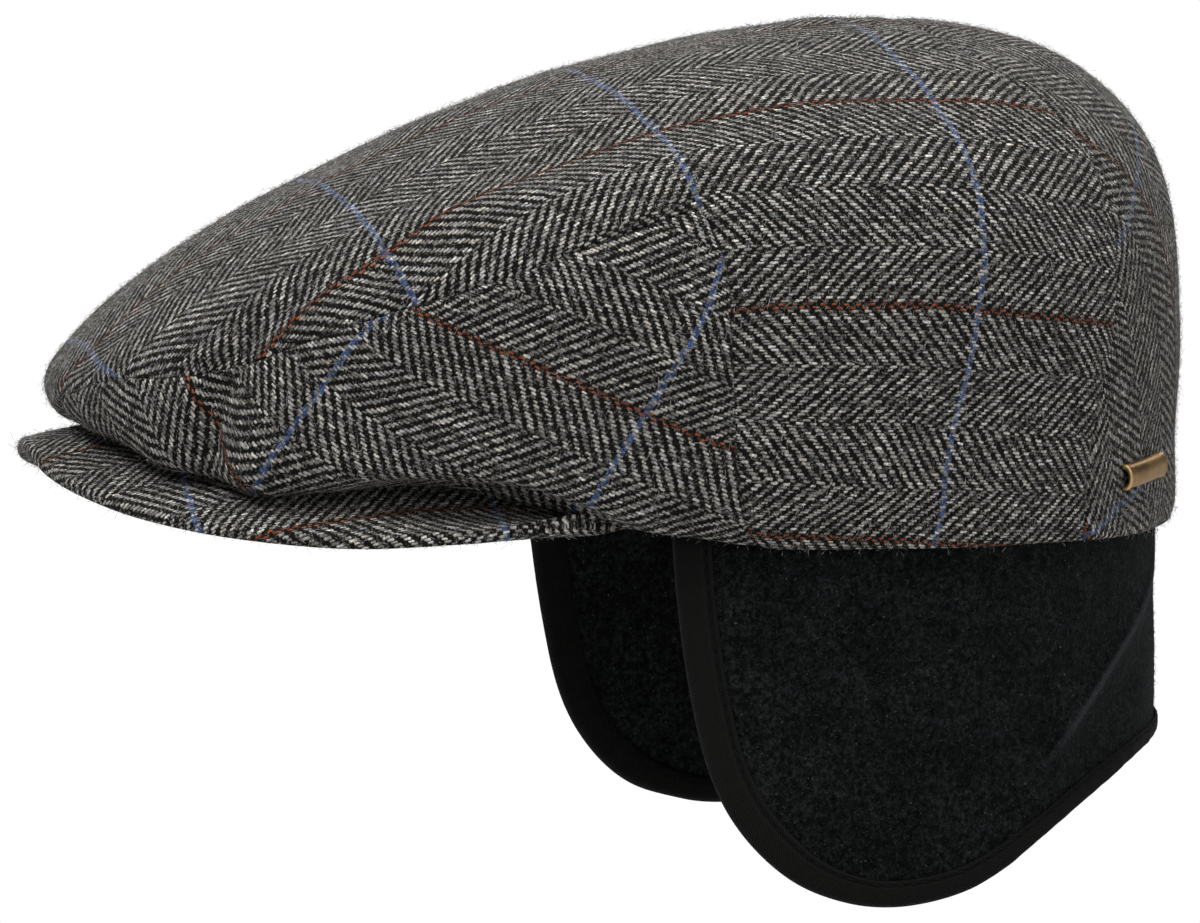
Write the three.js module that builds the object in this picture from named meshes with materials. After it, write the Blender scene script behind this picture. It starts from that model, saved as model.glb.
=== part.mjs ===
// Earflap cap: a flat cap of herringbone wool with a stiff peak, and a fleece
// band that hangs from the hem over the ears and the nape.
// Millimetres.  +Z is up, the front of the cap is -Y, the wearer's left is +X.
// The origin is the middle of the head opening at the height of the hem.
import * as THREE from 'three';

// ---------------------------------------------------------------- sizes
const CLOTH = 2.0;            // wall of the crown, wool and backing together
const GAP = 0.3;              // clear space between neighbouring pieces
const SEAM_GAP = 0.42;        // the same along the curved seams of the crown
const PEAK_THICK = 3.6;       // peak, board and cloth together
const PEAK_EDGE = 2.2;        // the same at its rounded rim
const PEAK_TUCK = 1.5;        // how far the peak reaches in under the crown
const PEAK_BOW = 0.2;         // rise of the peak between its joint and its rim
const FLEECE = 2.6;           // fleece of the band
const BAND_TOP = 11.0;        // upper edge of the band, hidden inside the hem
const TAPE_WIDTH = 6.5;       // binding on the free edge of the band
const TAPE_THICK = 0.8;
const PIN_LENGTH = 20.0;      // half-round metal bar on the back panel
const PIN_WIDTH = 5.4;
const PIN_HEIGHT = 2.2;

// cells along each kind of seam
const N_SIDE = 8;             // hem to shoulder
const N_OVER = 18;            // shoulder to shoulder over the top
const N_REAR = 11;            // side seam to back seam
const N_FRONT = 16;           // shoulder corner to the front tongue

// ---------------------------------------------------------------- crown
// One row per level, from the hem up to the top of the crown.
//  yBack, yFront, halfWidth: reach of the level; yWide: where it is widest
//  zBack, zSide, zFront: its height there; nBack, nFront: roundness in plan
//  pFront: how late the height changes on the way to the front
//  lift, tuck: rise, and share drawn in, where the loose front overhangs the peak
const LEVELS = [
  { yBack: 102.0, yFront: -103.9, halfWidth: 85.8, yWide: 7.5, zBack: 1.0, zSide: 2.2, zFront: 30.5, nBack: 2.20, nFront: 2.15, pFront: 2.0, lift: 0, tuck: 0 },
  { yBack: 104.2, yFront: -123.8, halfWidth: 88.0, yWide: 5.3, zBack: 6.3, zSide: 7.4, zFront: 28.8, nBack: 2.09, nFront: 2.25, pFront: 4.6, lift: 9.3, tuck: 0.03 },
  { yBack: 104.6, yFront: -142.0, halfWidth: 90.5, yWide: 3.2, zBack: 20.1, zSide: 15.6, zFront: 26.5, nBack: 2.03, nFront: 2.35, pFront: 7.5, lift: 5.6, tuck: 0 },
  { yBack: 105.2, yFront: -148.1, halfWidth: 91.9, yWide: 1.7, zBack: 45.4, zSide: 42.9, zFront: 32.2, nBack: 2.11, nFront: 2.28, pFront: 2.84, lift: 0.5, tuck: 0 },
  { yBack: 103.1, yFront: -144.7, halfWidth: 90.5, yWide: 1.7, zBack: 72.7, zSide: 65.5, zFront: 39.3, nBack: 2.11, nFront: 2.32, pFront: 2.25, lift: 0, tuck: 0 },
  { yBack: 93.6, yFront: -133.7, halfWidth: 82.5, yWide: 1.8, zBack: 93.5, zSide: 83.9, zFront: 50.5, nBack: 2.06, nFront: 2.23, pFront: 1.88, lift: 0, tuck: 0 },
  { yBack: 76.2, yFront: -113.5, halfWidth: 66.6, yWide: 3.0, zBack: 106.4, zSide: 96.0, zFront: 65.6, nBack: 2.07, nFront: 2.23, pFront: 1.23, lift: 0, tuck: 0 },
  { yBack: 54.5, yFront: -79.6, halfWidth: 46.7, yWide: 5.2, zBack: 112.1, zSide: 104.2, zFront: 83.7, nBack: 2.02, nFront: 2.08, pFront: 1.29, lift: 0, tuck: 0 },
  { yBack: 30.8, yFront: -38.1, halfWidth: 23.8, yWide: 8.3, zBack: 113.5, zSide: 109.8, zFront: 100.4, nBack: 1.99, nFront: 2.01, pFront: 1.14, lift: 0, tuck: 0 },
  { yBack: 13.9, yFront: 13.9, halfWidth: 0.0, yWide: 13.9, zBack: 111.6, zSide: 111.6, zFront: 111.6, nBack: 2.00, nFront: 2.00, pFront: 1.50, lift: 0, tuck: 0 },
];

const OVERHANG = [106, 119, 123, 143];   // angles where the overhang comes and goes

// Seams of the near half, mirrored for the other one.  angle is counted from
// the back round to the front, level from 0 at the hem to 1 at the top.
const SIDE_SEAM = [           // hem up to the shoulder corner
  { angle: 98.8, level: 0.00 }, { angle: 98.0, level: 0.10 },
  { angle: 97.2, level: 0.20 }, { angle: 97.0, level: 0.31 },
  { angle: 97.3, level: 0.41 }, { angle: 98.2, level: 0.46 },
  { angle: 99.7, level: 0.502 },
];
const TOP_SEAM = [            // shoulder corner forward to the front tongue
  { angle: 99.7, level: 0.502 }, { angle: 106.5, level: 0.478 },
  { angle: 114.0, level: 0.447 }, { angle: 121.0, level: 0.427 },
  { angle: 128.5, level: 0.405 }, { angle: 137.0, level: 0.371 },
  { angle: 144.0, level: 0.361 }, { angle: 150.0, level: 0.368 },
  { angle: 155.0, level: 0.381 }, { angle: 161.5, level: 0.374 },
  { angle: 171.5, level: 0.325 },
];
const TONGUE_SEAM = [         // front tongue down to the peak
  { angle: 171.5, level: 0.325 }, { angle: 175.0, level: 0.260 },
  { angle: 176.4, level: 0.150 }, { angle: 177.3, level: 0.000 },
];
const BACK_SEAM = [           // hem up the back seam to its shoulder
  { angle: 53.0, level: 0.00 }, { angle: 52.3, level: 0.10 },
  { angle: 50.8, level: 0.24 }, { angle: 47.2, level: 0.345 },
  { angle: 45.6, level: 0.42 }, { angle: 44.7, level: 0.485 },
  { angle: 44.8, level: 0.530 },
];
const CROSS_SEAM = [          // and on over the crown to the middle
  { angle: 44.8, level: 0.530 }, { angle: 45.3, level: 0.569 },
  { angle: 45.7, level: 0.611 }, { angle: 45.6, level: 0.670 },
  { angle: 40.9, level: 0.741 }, { angle: 27.6, level: 0.806 },
  { angle: 0.0, level: 0.835 },
];

// ---------------------------------------------------------------- peak
// Rim of the peak from its tip to where it dies into the hem.
const PEAK_RIM = [
  { x: 0.0, y: -154.0, z: 22.6 }, { x: 12.0, y: -153.4, z: 21.4 },
  { x: 23.4, y: -151.5, z: 18.6 }, { x: 38.1, y: -146.1, z: 15.5 },
  { x: 52.7, y: -135.4, z: 11.9 }, { x: 65.9, y: -118.4, z: 8.9 },
  { x: 76.1, y: -94.8, z: 7.2 }, { x: 81.8, y: -68.4, z: 8.5 },
  { x: 81.4, y: -42.0, z: 8.9 },
];
const PEAK_END = 110.5;       // angle at which the peak ends on each side

// ---------------------------------------------------------------- band
// Lower edge of the fleece band from the middle of the nape to the front.
// along: length round the band; z: height of the edge
const BAND_EDGE = [
  { along: 0.0, z: -43.6 }, { along: 15.0, z: -43.7 },
  { along: 29.5, z: -44.4 }, { along: 43.0, z: -45.6 },
  { along: 57.0, z: -48.3 }, { along: 73.6, z: -54.3 },
  { along: 86.3, z: -60.9 }, { along: 97.6, z: -67.2 },
  { along: 108.6, z: -71.4 }, { along: 122.3, z: -73.4 },
  { along: 134.5, z: -72.0 }, { along: 146.7, z: -66.7 },
  { along: 157.2, z: -56.6 }, { along: 163.8, z: -44.0 },
  { along: 168.1, z: -26.0 }, { along: 170.6, z: -8.0 },
  { along: 171.5, z: 4.0 },
];
const BAND_LEAN = 0.035;      // how far the flaps lean in on their way down

// ---------------------------------------------------------------- tools
const rad = (d) => (d * Math.PI) / 180;
const V = (x, y, z) => new THREE.Vector3(x, y, z);
const lerp = (a, b, k) => a + (b - a) * k;
const smooth = (e0, e1, x) => {
  const k = Math.min(1, Math.max(0, (x - e0) / (e1 - e0)));
  return k * k * (3 - 2 * k);
};

// smooth curve through the rows of a table, read at 0..1 of its columns.
// even: columns that come back the same across the cap's middle plane, at the
// start of the table or, for `middle` 'end', at its last row
function curve(rows, keys, even = [], middle = 'start') {
  const n = rows.length - 1;
  const over = (end, next, key, here) => {
    if (here && even.includes(key)) return rows[next][key];
    return 2 * rows[end][key] - rows[next][key];
  };
  const at = (i, key) => {
    if (i < 0) return over(0, 1, key, middle === 'start');
    if (i > n) return over(n, n - 1, key, middle === 'end');
    return rows[i][key];
  };
  return (s) => {
    const x = s * n;
    const i = Math.min(n - 1, Math.max(0, Math.floor(x)));
    const f = x - i;
    return keys.map((key) => {
      const p0 = at(i - 1, key), p1 = at(i, key), p2 = at(i + 1, key), p3 = at(i + 2, key);
      return 0.5 * (2 * p1 + (p2 - p0) * f + (2 * p0 - 5 * p1 + 4 * p2 - p3) * f * f
        + (3 * p1 - p0 - 3 * p2 + p3) * f * f * f);
    });
  };
}

// a point of one level at an angle
function levelPoint(k, angle) {
  const L = LEVELS[k];
  const c = Math.cos(angle), s = Math.sin(angle);
  const n = c >= 0 ? L.nBack : L.nFront;
  const reach = Math.max(c >= 0 ? L.yBack - L.yWide : L.yWide - L.yFront, 1e-6);
  const r = (Math.abs(c) ** n + Math.abs(s) ** n) ** (-1 / n);
  const back = Math.max(0, r * c), front = Math.max(0, -r * c);
  const turn = (Math.acos(Math.min(1, Math.max(-1, c))) * 180) / Math.PI;
  const over = smooth(OVERHANG[0], OVERHANG[1], turn) * (1 - smooth(OVERHANG[2], OVERHANG[3], turn));
  const q = r * (1 - L.tuck * over);
  return V(Math.max(L.halfWidth, 1e-6) * q * s, L.yWide + reach * q * c,
    L.zSide + (L.zBack - L.zSide) * back ** 2 + (L.zFront - L.zSide) * front ** L.pFront + L.lift * over);
}

// outer face of the crown at an angle and a level
function crownAt(angle, level) {
  const n = LEVELS.length - 1;
  const x = level * n;
  const i = Math.min(n - 1, Math.max(0, Math.floor(x)));
  const f = x - i;
  const p1 = levelPoint(i, angle), p2 = levelPoint(i + 1, angle);
  const p0 = i > 0 ? levelPoint(i - 1, angle) : p1.clone().multiplyScalar(2).sub(p2);
  const p3 = i + 2 <= n ? levelPoint(i + 2, angle) : levelPoint(n - 1, angle + Math.PI);
  const w = [-0.5 * f + f * f - 0.5 * f ** 3, 1 - 2.5 * f * f + 1.5 * f ** 3,
    0.5 * f + 2 * f * f - 1.5 * f ** 3, -0.5 * f * f + 0.5 * f ** 3];
  return p0.multiplyScalar(w[0]).addScaledVector(p1, w[1]).addScaledVector(p2, w[2])
    .addScaledVector(p3, w[3]);
}

// The crown is read through a flat disc: its rim is the hem, its middle the top.
const disc = (angle, level) => [(1 - level) * Math.sin(angle), (1 - level) * Math.cos(angle)];
const crownDisc = (a, b) => crownAt(Math.atan2(a, b), 1 - Math.hypot(a, b));
function crownNormal(a, b) {
  const h = 0.004;
  const da = crownDisc(a + h, b).sub(crownDisc(a - h, b));
  const db = crownDisc(a, b + h).sub(crownDisc(a, b - h));
  return da.cross(db).normalize();
}
const seam = (rows, even = []) => {
  const read = curve(rows, ['angle', 'level'], even, 'end');
  return (s) => { const [g, l] = read(s); return disc(rad(g), l); };
};
const mirror = (p) => [-p[0], p[1]];

// seam points shared by the panels on both sides of each seam
const points = (fn, n) => Array.from({ length: n + 1 }, (_, i) => fn(i / n));
const sidePts = points(seam(SIDE_SEAM), N_SIDE);
const topPts = points(seam(TOP_SEAM), N_FRONT);
const tonguePts = points(seam(TONGUE_SEAM), N_SIDE);
const backPts = points(seam(BACK_SEAM), N_SIDE);
const halfCross = points(seam(CROSS_SEAM, ['level']), N_OVER / 2);
const crossPts = [...halfCross, ...halfCross.slice(0, -1).reverse().map(mirror)];
const hemArc = (g0, g1, n) => points((s) => disc(rad(lerp(g0, g1, s)), 0), n);

// patch between four edges: bottom and top run along u, left and right along v
function patch(bottom, top, left, right, relax = 0) {
  const nu = bottom.length - 1, nv = left.length - 1;
  const rows = [];
  for (let j = 0; j <= nv; j++) {
    const v = j / nv, row = [];
    for (let i = 0; i <= nu; i++) {
      const u = i / nu;
      row.push([0, 1].map((k) => (1 - v) * bottom[i][k] + v * top[i][k]
        + (1 - u) * left[j][k] + u * right[j][k]
        - (1 - u) * (1 - v) * bottom[0][k] - u * (1 - v) * bottom[nu][k]
        - (1 - u) * v * top[0][k] - u * v * top[nu][k]));
    }
    rows.push(row);
  }
  // even the inner points out, so that cells stay open beside a straight corner
  for (let pass = 0; pass < relax; pass++) {
    for (let j = 1; j < nv; j++) for (let i = 1; i < nu; i++) {
      rows[j][i] = [0, 1].map((k) => (rows[j - 1][i][k] + rows[j + 1][i][k]
        + rows[j][i - 1][k] + rows[j][i + 1][k]) / 4);
    }
  }
  return rows;
}

// ---------------------------------------------------------------- solids
// A sheet with thickness.  face[j][i] and back[j][i] are its two faces, null
// where the sheet has no point; walls close every free edge.
function sheetSolid(face, back, flip = false) {
  const pos = [], index = [], id = new Map();
  const vert = (side, j, i) => {
    const key = `${side},${j},${i}`;
    if (!id.has(key)) {
      const p = (side ? back : face)[j][i];
      id.set(key, pos.length / 3);
      pos.push(p.x, p.y, p.z);
    }
    return id.get(key);
  };
  const rows = face.length, cols = face[0].length;
  const cell = (j, i) => j >= 0 && i >= 0 && j < rows - 1 && i < cols - 1
    && face[j][i] && face[j][i + 1] && face[j + 1][i] && face[j + 1][i + 1];
  const tri = (a, b, c) => (flip ? index.push(a, c, b) : index.push(a, b, c));
  const apart = (a, b) => Math.hypot(...[0, 1, 2].map((k) => pos[3 * a + k] - pos[3 * b + k]));
  // split along the shorter diagonal, so walls that face each other match
  const quad = (a, b, c, d) => {
    if (apart(a, c) <= apart(b, d)) { tri(a, b, c); tri(a, c, d); }
    else { tri(a, b, d); tri(b, c, d); }
  };
  for (let j = 0; j < rows - 1; j++) {
    for (let i = 0; i < cols - 1; i++) {
      if (!cell(j, i)) continue;
      const f = (dj, di) => vert(0, j + dj, i + di), k = (dj, di) => vert(1, j + dj, i + di);
      quad(f(0, 0), f(0, 1), f(1, 1), f(1, 0));
      quad(k(0, 0), k(1, 0), k(1, 1), k(0, 1));
      if (!cell(j - 1, i)) quad(f(0, 1), f(0, 0), k(0, 0), k(0, 1));
      if (!cell(j + 1, i)) quad(f(1, 0), f(1, 1), k(1, 1), k(1, 0));
      if (!cell(j, i - 1)) quad(f(0, 0), f(1, 0), k(1, 0), k(0, 0));
      if (!cell(j, i + 1)) quad(f(1, 1), f(0, 1), k(0, 1), k(1, 1));
    }
  }
  return meshFrom(pos, index);
}

function meshFrom(pos, index) {
  const g = new THREE.BufferGeometry();
  g.setAttribute('position', new THREE.Float32BufferAttribute(pos, 3));
  g.setIndex(index);
  g.computeVertexNormals();
  return g;
}

// pull the free edges of a grid of 3-D points in by half a gap
function pullIn(P, N) {
  const rows = P.length, cols = P[0].length;
  const has = (j, i) => j >= 0 && i >= 0 && j < rows && i < cols && P[j][i];
  const cell = (j, i) => has(j, i) && has(j + 1, i) && has(j, i + 1) && has(j + 1, i + 1);
  const push = P.map((r) => r.map((p) => (p ? [] : null)));
  const edge = (j0, i0, j1, i1, jc, ic) => {
    const a = P[j0][i0], b = P[j1][i1];
    const along = b.clone().sub(a);
    const inward = N[j0][i0].clone().add(N[j1][i1]).cross(along).normalize();
    const middle = P[jc][ic].clone().add(P[jc + 1][ic + 1]).add(P[jc + 1][ic])
      .add(P[jc][ic + 1]).multiplyScalar(0.25);
    if (inward.dot(middle.sub(a.clone().lerp(b, 0.5))) < 0) inward.negate();
    push[j0][i0].push(inward); push[j1][i1].push(inward);
  };
  for (let j = 0; j < rows - 1; j++) for (let i = 0; i < cols - 1; i++) {
    if (!cell(j, i)) continue;
    if (!cell(j - 1, i)) edge(j, i, j, i + 1, j, i);
    if (!cell(j + 1, i)) edge(j + 1, i, j + 1, i + 1, j, i);
    if (!cell(j, i - 1)) edge(j, i, j + 1, i, j, i);
    if (!cell(j, i + 1)) edge(j, i + 1, j + 1, i + 1, j, i);
  }
  return P.map((r, j) => r.map((p, i) => {
    if (!p || !push[j][i].length) return p && p.clone();
    const d = push[j][i].reduce((s, q) => s.add(q), V(0, 0, 0)).normalize();
    const k = Math.max(0.5, d.dot(push[j][i][0]));
    return p.clone().addScaledVector(d, (SEAM_GAP / 2) / k);
  }));
}

// cloth panel over a grid of disc points
function crownPanel(grid) {
  const P = grid.map((r) => r.map((q) => q && crownDisc(q[0], q[1])));
  const N = grid.map((r) => r.map((q) => q && crownNormal(q[0], q[1])));
  const face = pullIn(P, N);
  const back = face.map((r, j) => r.map((p, i) => p && p.clone().addScaledVector(N[j][i], -CLOTH)));
  return { face, back };
}

// ---------------------------------------------------------------- panels
function crownTop() {
  const corner = topPts[0], other = mirror(corner);
  const bridge = points((s) => [lerp(corner[0], other[0], s), corner[1]], N_OVER);
  const front = [...sidePts, ...bridge.slice(1, -1), ...[...sidePts].reverse().map(mirror)];
  const rear = [...backPts, ...crossPts.slice(1, -1), ...[...backPts].reverse().map(mirror)];
  const left = hemArc(SIDE_SEAM[0].angle, BACK_SEAM[0].angle, N_REAR);
  const rearBlock = patch(front, rear, left, left.map(mirror));
  // forward of the shoulders only the middle columns go on, out to the tongue
  const edge = [...topPts, ...tonguePts.slice(1)];
  const frontBlock = edge.slice(1).reverse().map((p) => {
    const row = new Array(2 * N_SIDE + N_OVER + 1).fill(null);
    for (let i = 0; i <= N_OVER; i++) row[N_SIDE + i] = [lerp(p[0], -p[0], i / N_OVER), p[1]];
    return row;
  });
  const { face, back } = crownPanel([...frontBlock, ...rearBlock]);
  return sheetSolid(face, back, true);
}

function frontPanel(side) {
  const m = (p) => (side > 0 ? p : mirror(p));
  const hem = hemArc(SIDE_SEAM[0].angle, TONGUE_SEAM[3].angle, N_FRONT);
  const grid = patch(hem, topPts, sidePts, [...tonguePts].reverse(), 10)
    .map((r) => r.map(m));
  const { face, back } = crownPanel(grid);
  return sheetSolid(face, back, side > 0);
}

function backPanel() {
  const hem = hemArc(BACK_SEAM[0].angle, -BACK_SEAM[0].angle, N_OVER);
  const grid = patch(hem, crossPts, backPts, backPts.map(mirror), 40);
  const { face, back } = crownPanel(grid);
  return sheetSolid(face, back, false);
}

// ---------------------------------------------------------------- peak
function peak() {
  const cols = 30, stations = [0, 0.2, 0.42, 0.64, 0.84, 0.955, 1];
  const rim = curve(PEAK_RIM, ['x', 'y', 'z'], ['y', 'z']);
  const face = [], back = [];
  for (const v of stations) {
    const row = [], under = [];
    for (let i = 0; i <= cols; i++) {
      const s = -1 + (2 * i) / cols;                    // -1 and 1 are the ends
      const angle = rad(180) - s * rad(180 - PEAK_END);
      const joint = levelPoint(0, angle);
      const inward = V(-joint.x, 7.5 - joint.y, 0).normalize();
      joint.addScaledVector(inward, PEAK_TUCK).add(V(0, 0, -GAP - 0.9));
      const [x, y, z] = rim(Math.abs(s));
      const out = V(s < 0 ? -x : x, y, z);
      const p = joint.clone().lerp(out, v);
      p.z += PEAK_BOW * 4 * v * (1 - v) * (1 - Math.abs(s) ** 3);
      const thick = lerp(PEAK_THICK, PEAK_EDGE, smooth(0.86, 1, v)) * lerp(1, 0.7, s ** 6);
      const shift = v > 0.86 ? (PEAK_THICK - thick) / 2 : 0;
      row.push(p.clone().add(V(0, 0, -shift)));
      under.push(p.clone().add(V(0, 0, -shift - thick)));
    }
    face.push(row); back.push(under);
  }
  return sheetSolid(face, back, true);
}

// ---------------------------------------------------------------- band
// Plan of the band: just inside the wall of the crown at the hem, measured by
// length from the middle of the nape.
const BAND_IN = CLOTH + GAP + 0.15 + FLEECE / 2;
const planStep = 0.25;
const plan = (() => {
  const pts = [];
  for (let g = 0; g <= 112; g += planStep) {
    const p = levelPoint(0, rad(g));
    const q = levelPoint(0, rad(g + 0.1)).sub(levelPoint(0, rad(g - 0.1)));
    const n = V(q.y, -q.x, 0).normalize();
    if (n.dot(V(p.x, p.y - 7.5, 0)) < 0) n.negate();
    pts.push({ x: p.x - n.x * BAND_IN, y: p.y - n.y * BAND_IN, nx: n.x, ny: n.y, along: 0 });
  }
  for (let i = 1; i < pts.length; i++) {
    pts[i].along = pts[i - 1].along + Math.hypot(pts[i].x - pts[i - 1].x, pts[i].y - pts[i - 1].y);
  }
  return pts;
})();
function planAt(along) {
  const s = Math.min(Math.abs(along), plan[plan.length - 1].along - 1e-6);
  let lo = 0, hi = plan.length - 1;
  while (hi - lo > 1) { const m = (lo + hi) >> 1; if (plan[m].along <= s) lo = m; else hi = m; }
  const a = plan[lo], b = plan[hi], f = (s - a.along) / (b.along - a.along);
  const sign = along < 0 ? -1 : 1;
  return { x: sign * lerp(a.x, b.x, f), y: lerp(a.y, b.y, f), nx: sign * lerp(a.nx, b.nx, f), ny: lerp(a.ny, b.ny, f) };
}
// middle of the fleece, moved off by `off` along its normal
function bandAt(along, z, off) {
  const p = planAt(along);
  const low = Math.max(0, -z);
  const flap = smooth(40, 90, Math.abs(along));
  const lean = -BAND_LEAN * low * flap - 0.012 * low * (1 - flap);
  const k = off + lean;
  return V(p.x + p.nx * k, p.y + p.ny * k, z);
}
const edgeCurve = curve(BAND_EDGE, ['along', 'z'], ['z']);
const bandEnd = BAND_EDGE[BAND_EDGE.length - 1].along;

function earflapBand() {
  const cols = 46, rows = 7;
  const face = [], back = [];
  for (let j = 0; j <= rows; j++) {
    const row = [], under = [];
    for (let i = 0; i <= cols; i++) {
      const s = -1 + (2 * i) / cols;
      const [along, zLow] = edgeCurve(Math.abs(s));
      const sign = s < 0 ? -1 : 1;
      const v = j / rows;
      // upper edge runs straight above the lower one, pulled in at the front
      const alongTop = along - 0.5 * smooth(0.8, 1, Math.abs(s));
      const z = lerp(BAND_TOP, zLow, v);
      const al = sign * lerp(alongTop, along, v);
      row.push(bandAt(al, z, FLEECE / 2)); under.push(bandAt(al, z, -FLEECE / 2));
    }
    face.push(row); back.push(under);
  }
  return sheetSolid(face, back, false);
}

// Tape folded over the free edge of the band.
function flapBinding() {
  const half = FLEECE / 2 + GAP + 0.1;
  const section = [            // off: along the cloth's normal; past: beyond the edge
    { off: half + TAPE_THICK, past: -TAPE_WIDTH }, { off: half + TAPE_THICK, past: 0.55 },
    { off: half * 0.5, past: 0.6 + TAPE_THICK }, { off: -half * 0.5, past: 0.6 + TAPE_THICK },
    { off: -half - TAPE_THICK, past: 0.55 }, { off: -half - TAPE_THICK, past: -TAPE_WIDTH },
    { off: -half, past: -TAPE_WIDTH }, { off: -half, past: 0.6 },
    { off: half, past: 0.6 }, { off: half, past: -TAPE_WIDTH },
  ];
  const stations = 84, pos = [], index = [], n = section.length;
  for (let k = 0; k <= stations; k++) {
    const s = lerp(-0.985, 0.985, k / stations);
    const sign = s < 0 ? -1 : 1;
    const [a, z] = edgeCurve(Math.abs(s));
    const [a0, z0] = edgeCurve(Math.abs(s) - 0.004), [a1, z1] = edgeCurve(Math.abs(s) + 0.004);
    // direction out of the cloth, square to its edge
    let da = a1 - a0, dz = z1 - z0;
    const len = Math.hypot(da, dz); da /= len; dz /= len;
    let outA = -dz * -1, outZ = -da;
    if (Math.abs(s) < 0.01) { outA = 0; outZ = -1; }
    for (const q of section) {
      const p = bandAt(sign * (a + outA * q.past), z + outZ * q.past, q.off);
      pos.push(p.x, p.y, p.z);
    }
  }
  for (let k = 0; k < stations; k++) for (let i = 0; i < n; i++) {
    const a = k * n + i, b = k * n + ((i + 1) % n), c = a + n, d = b + n;
    index.push(a, c, b, b, c, d);
  }
  // flat ends: the section is a U, closed with two legs and a bottom
  const lid = [[0, 1, 9], [1, 8, 9], [1, 2, 8], [2, 3, 8], [3, 7, 8], [3, 4, 7], [4, 5, 7], [5, 6, 7]];
  for (const [a, b, c] of lid) index.push(a, b, c);
  const o = stations * n;
  for (const [a, b, c] of lid) index.push(o + a, o + c, o + b);
  return meshFrom(pos, index);
}

// ---------------------------------------------------------------- pin
function pinBar() {
  const from = disc(rad(45.4), 0.190), to = disc(rad(29.6), 0.198);
  const mid = [(from[0] + to[0]) / 2, (from[1] + to[1]) / 2];
  const centre = crownDisc(mid[0], mid[1]);
  const normal = crownNormal(mid[0], mid[1]);
  const along = crownDisc(to[0], to[1]).sub(crownDisc(from[0], from[1]));
  along.addScaledVector(normal, -along.dot(normal)).normalize();
  const across = normal.clone().cross(along);
  const cols = 12, arc = 12, pos = [], index = [];
  const sectionSize = arc + 1;
  for (let k = 0; k <= cols; k++) {
    const u = lerp(-0.5, 0.5, k / cols) * PIN_LENGTH;
    const round = Math.min(1, (PIN_LENGTH / 2 - Math.abs(u)) / 1.2);
    const full = lerp(0.72, 1, Math.sqrt(Math.max(0, round)));
    // the bar follows the curve of the cloth under it
    const bend = -0.5 * u * u / 96;
    for (let i = 0; i <= arc; i++) {
      const g = Math.PI * (i / arc);
      const w = Math.cos(g) * PIN_WIDTH / 2 * full, h = Math.sin(g) ** 0.8 * PIN_HEIGHT * full;
      const p = centre.clone().addScaledVector(along, u).addScaledVector(across, w)
        .addScaledVector(normal, GAP + 0.15 + h + bend);
      pos.push(p.x, p.y, p.z);
    }
  }
  for (let k = 0; k < cols; k++) for (let i = 0; i < sectionSize; i++) {
    const a = k * sectionSize + i, b = k * sectionSize + ((i + 1) % sectionSize);
    index.push(a, b, a + sectionSize, b, b + sectionSize, a + sectionSize);
  }
  for (let i = 1; i < sectionSize - 1; i++) {
    index.push(0, i + 1, i);
    const o = cols * sectionSize;
    index.push(o, o + i, o + i + 1);
  }
  return meshFrom(pos, index);
}

// ---------------------------------------------------------------- build
const wool = () => new THREE.MeshStandardMaterial({ color: 0x77756f, roughness: 0.95, metalness: 0 });
const black = (c, r) => new THREE.MeshStandardMaterial({ color: c, roughness: r, metalness: 0 });
const group = new THREE.Group();
group.name = 'earflap_cap';
const add = (name, geometry, material) => {
  const mesh = new THREE.Mesh(geometry, material);
  mesh.name = name;
  group.add(mesh);
};
add('crown_top', crownTop(), wool());
add('front_panel_left', frontPanel(1), wool());
add('front_panel_right', frontPanel(-1), wool());
add('back_panel', backPanel(), wool());
add('peak', peak(), wool());
add('earflap_band', earflapBand(), black(0x141517, 0.97));
add('flap_binding', flapBinding(), black(0x101113, 0.85));
add('pin_bar', pinBar(), new THREE.MeshStandardMaterial({ color: 0x9a7a48, roughness: 0.45, metalness: 1 }));
export default group;
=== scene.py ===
# Earflap cap: the visible pieces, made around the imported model.
import math

import bpy
import numpy as np
from mathutils import Matrix, Vector
from mathutils.kdtree import KDTree


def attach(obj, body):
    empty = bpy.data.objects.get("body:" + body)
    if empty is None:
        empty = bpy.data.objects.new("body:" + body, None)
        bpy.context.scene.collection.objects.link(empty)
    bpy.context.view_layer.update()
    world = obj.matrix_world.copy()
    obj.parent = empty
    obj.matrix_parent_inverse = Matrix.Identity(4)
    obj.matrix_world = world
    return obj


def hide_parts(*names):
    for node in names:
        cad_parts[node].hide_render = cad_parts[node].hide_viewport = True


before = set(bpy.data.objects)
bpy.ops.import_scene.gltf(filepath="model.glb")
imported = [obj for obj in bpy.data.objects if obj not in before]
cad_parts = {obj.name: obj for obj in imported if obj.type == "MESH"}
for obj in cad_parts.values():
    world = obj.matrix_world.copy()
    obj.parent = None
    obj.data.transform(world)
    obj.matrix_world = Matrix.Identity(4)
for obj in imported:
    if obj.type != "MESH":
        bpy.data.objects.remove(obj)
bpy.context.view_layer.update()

MM = 0.001
PI = math.pi
rng = np.random.default_rng(4711)

# ---------------------------------------------------------------- sizes, mm
CLOTH = 2.0
GAP = 0.3
FLEECE = 2.6
PEAK_THICK = 3.6
PEAK_TUCK = 1.5
PEAK_BOW = 0.2
PEAK_END = 110.5
BAND_TOP = 11.0
BAND_LEAN = 0.035
TAPE_WIDTH = 6.5
TAPE_THICK = 0.8
PIN_LENGTH = 20.0
PIN_WIDTH = 5.4
PIN_HEIGHT = 2.2
N_SIDE, N_OVER, N_REAR, N_FRONT = 8, 18, 11, 16
SEAM_ROLL = 0.85              # how far the cloth turns down along a seam
HEM_ROLL = 1.6

# weave: 18 warp threads in a stripe of the herringbone, 90 wefts to a blue line
WARP = 12.5 / 18
WEFT = 62.0 / 90

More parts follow.
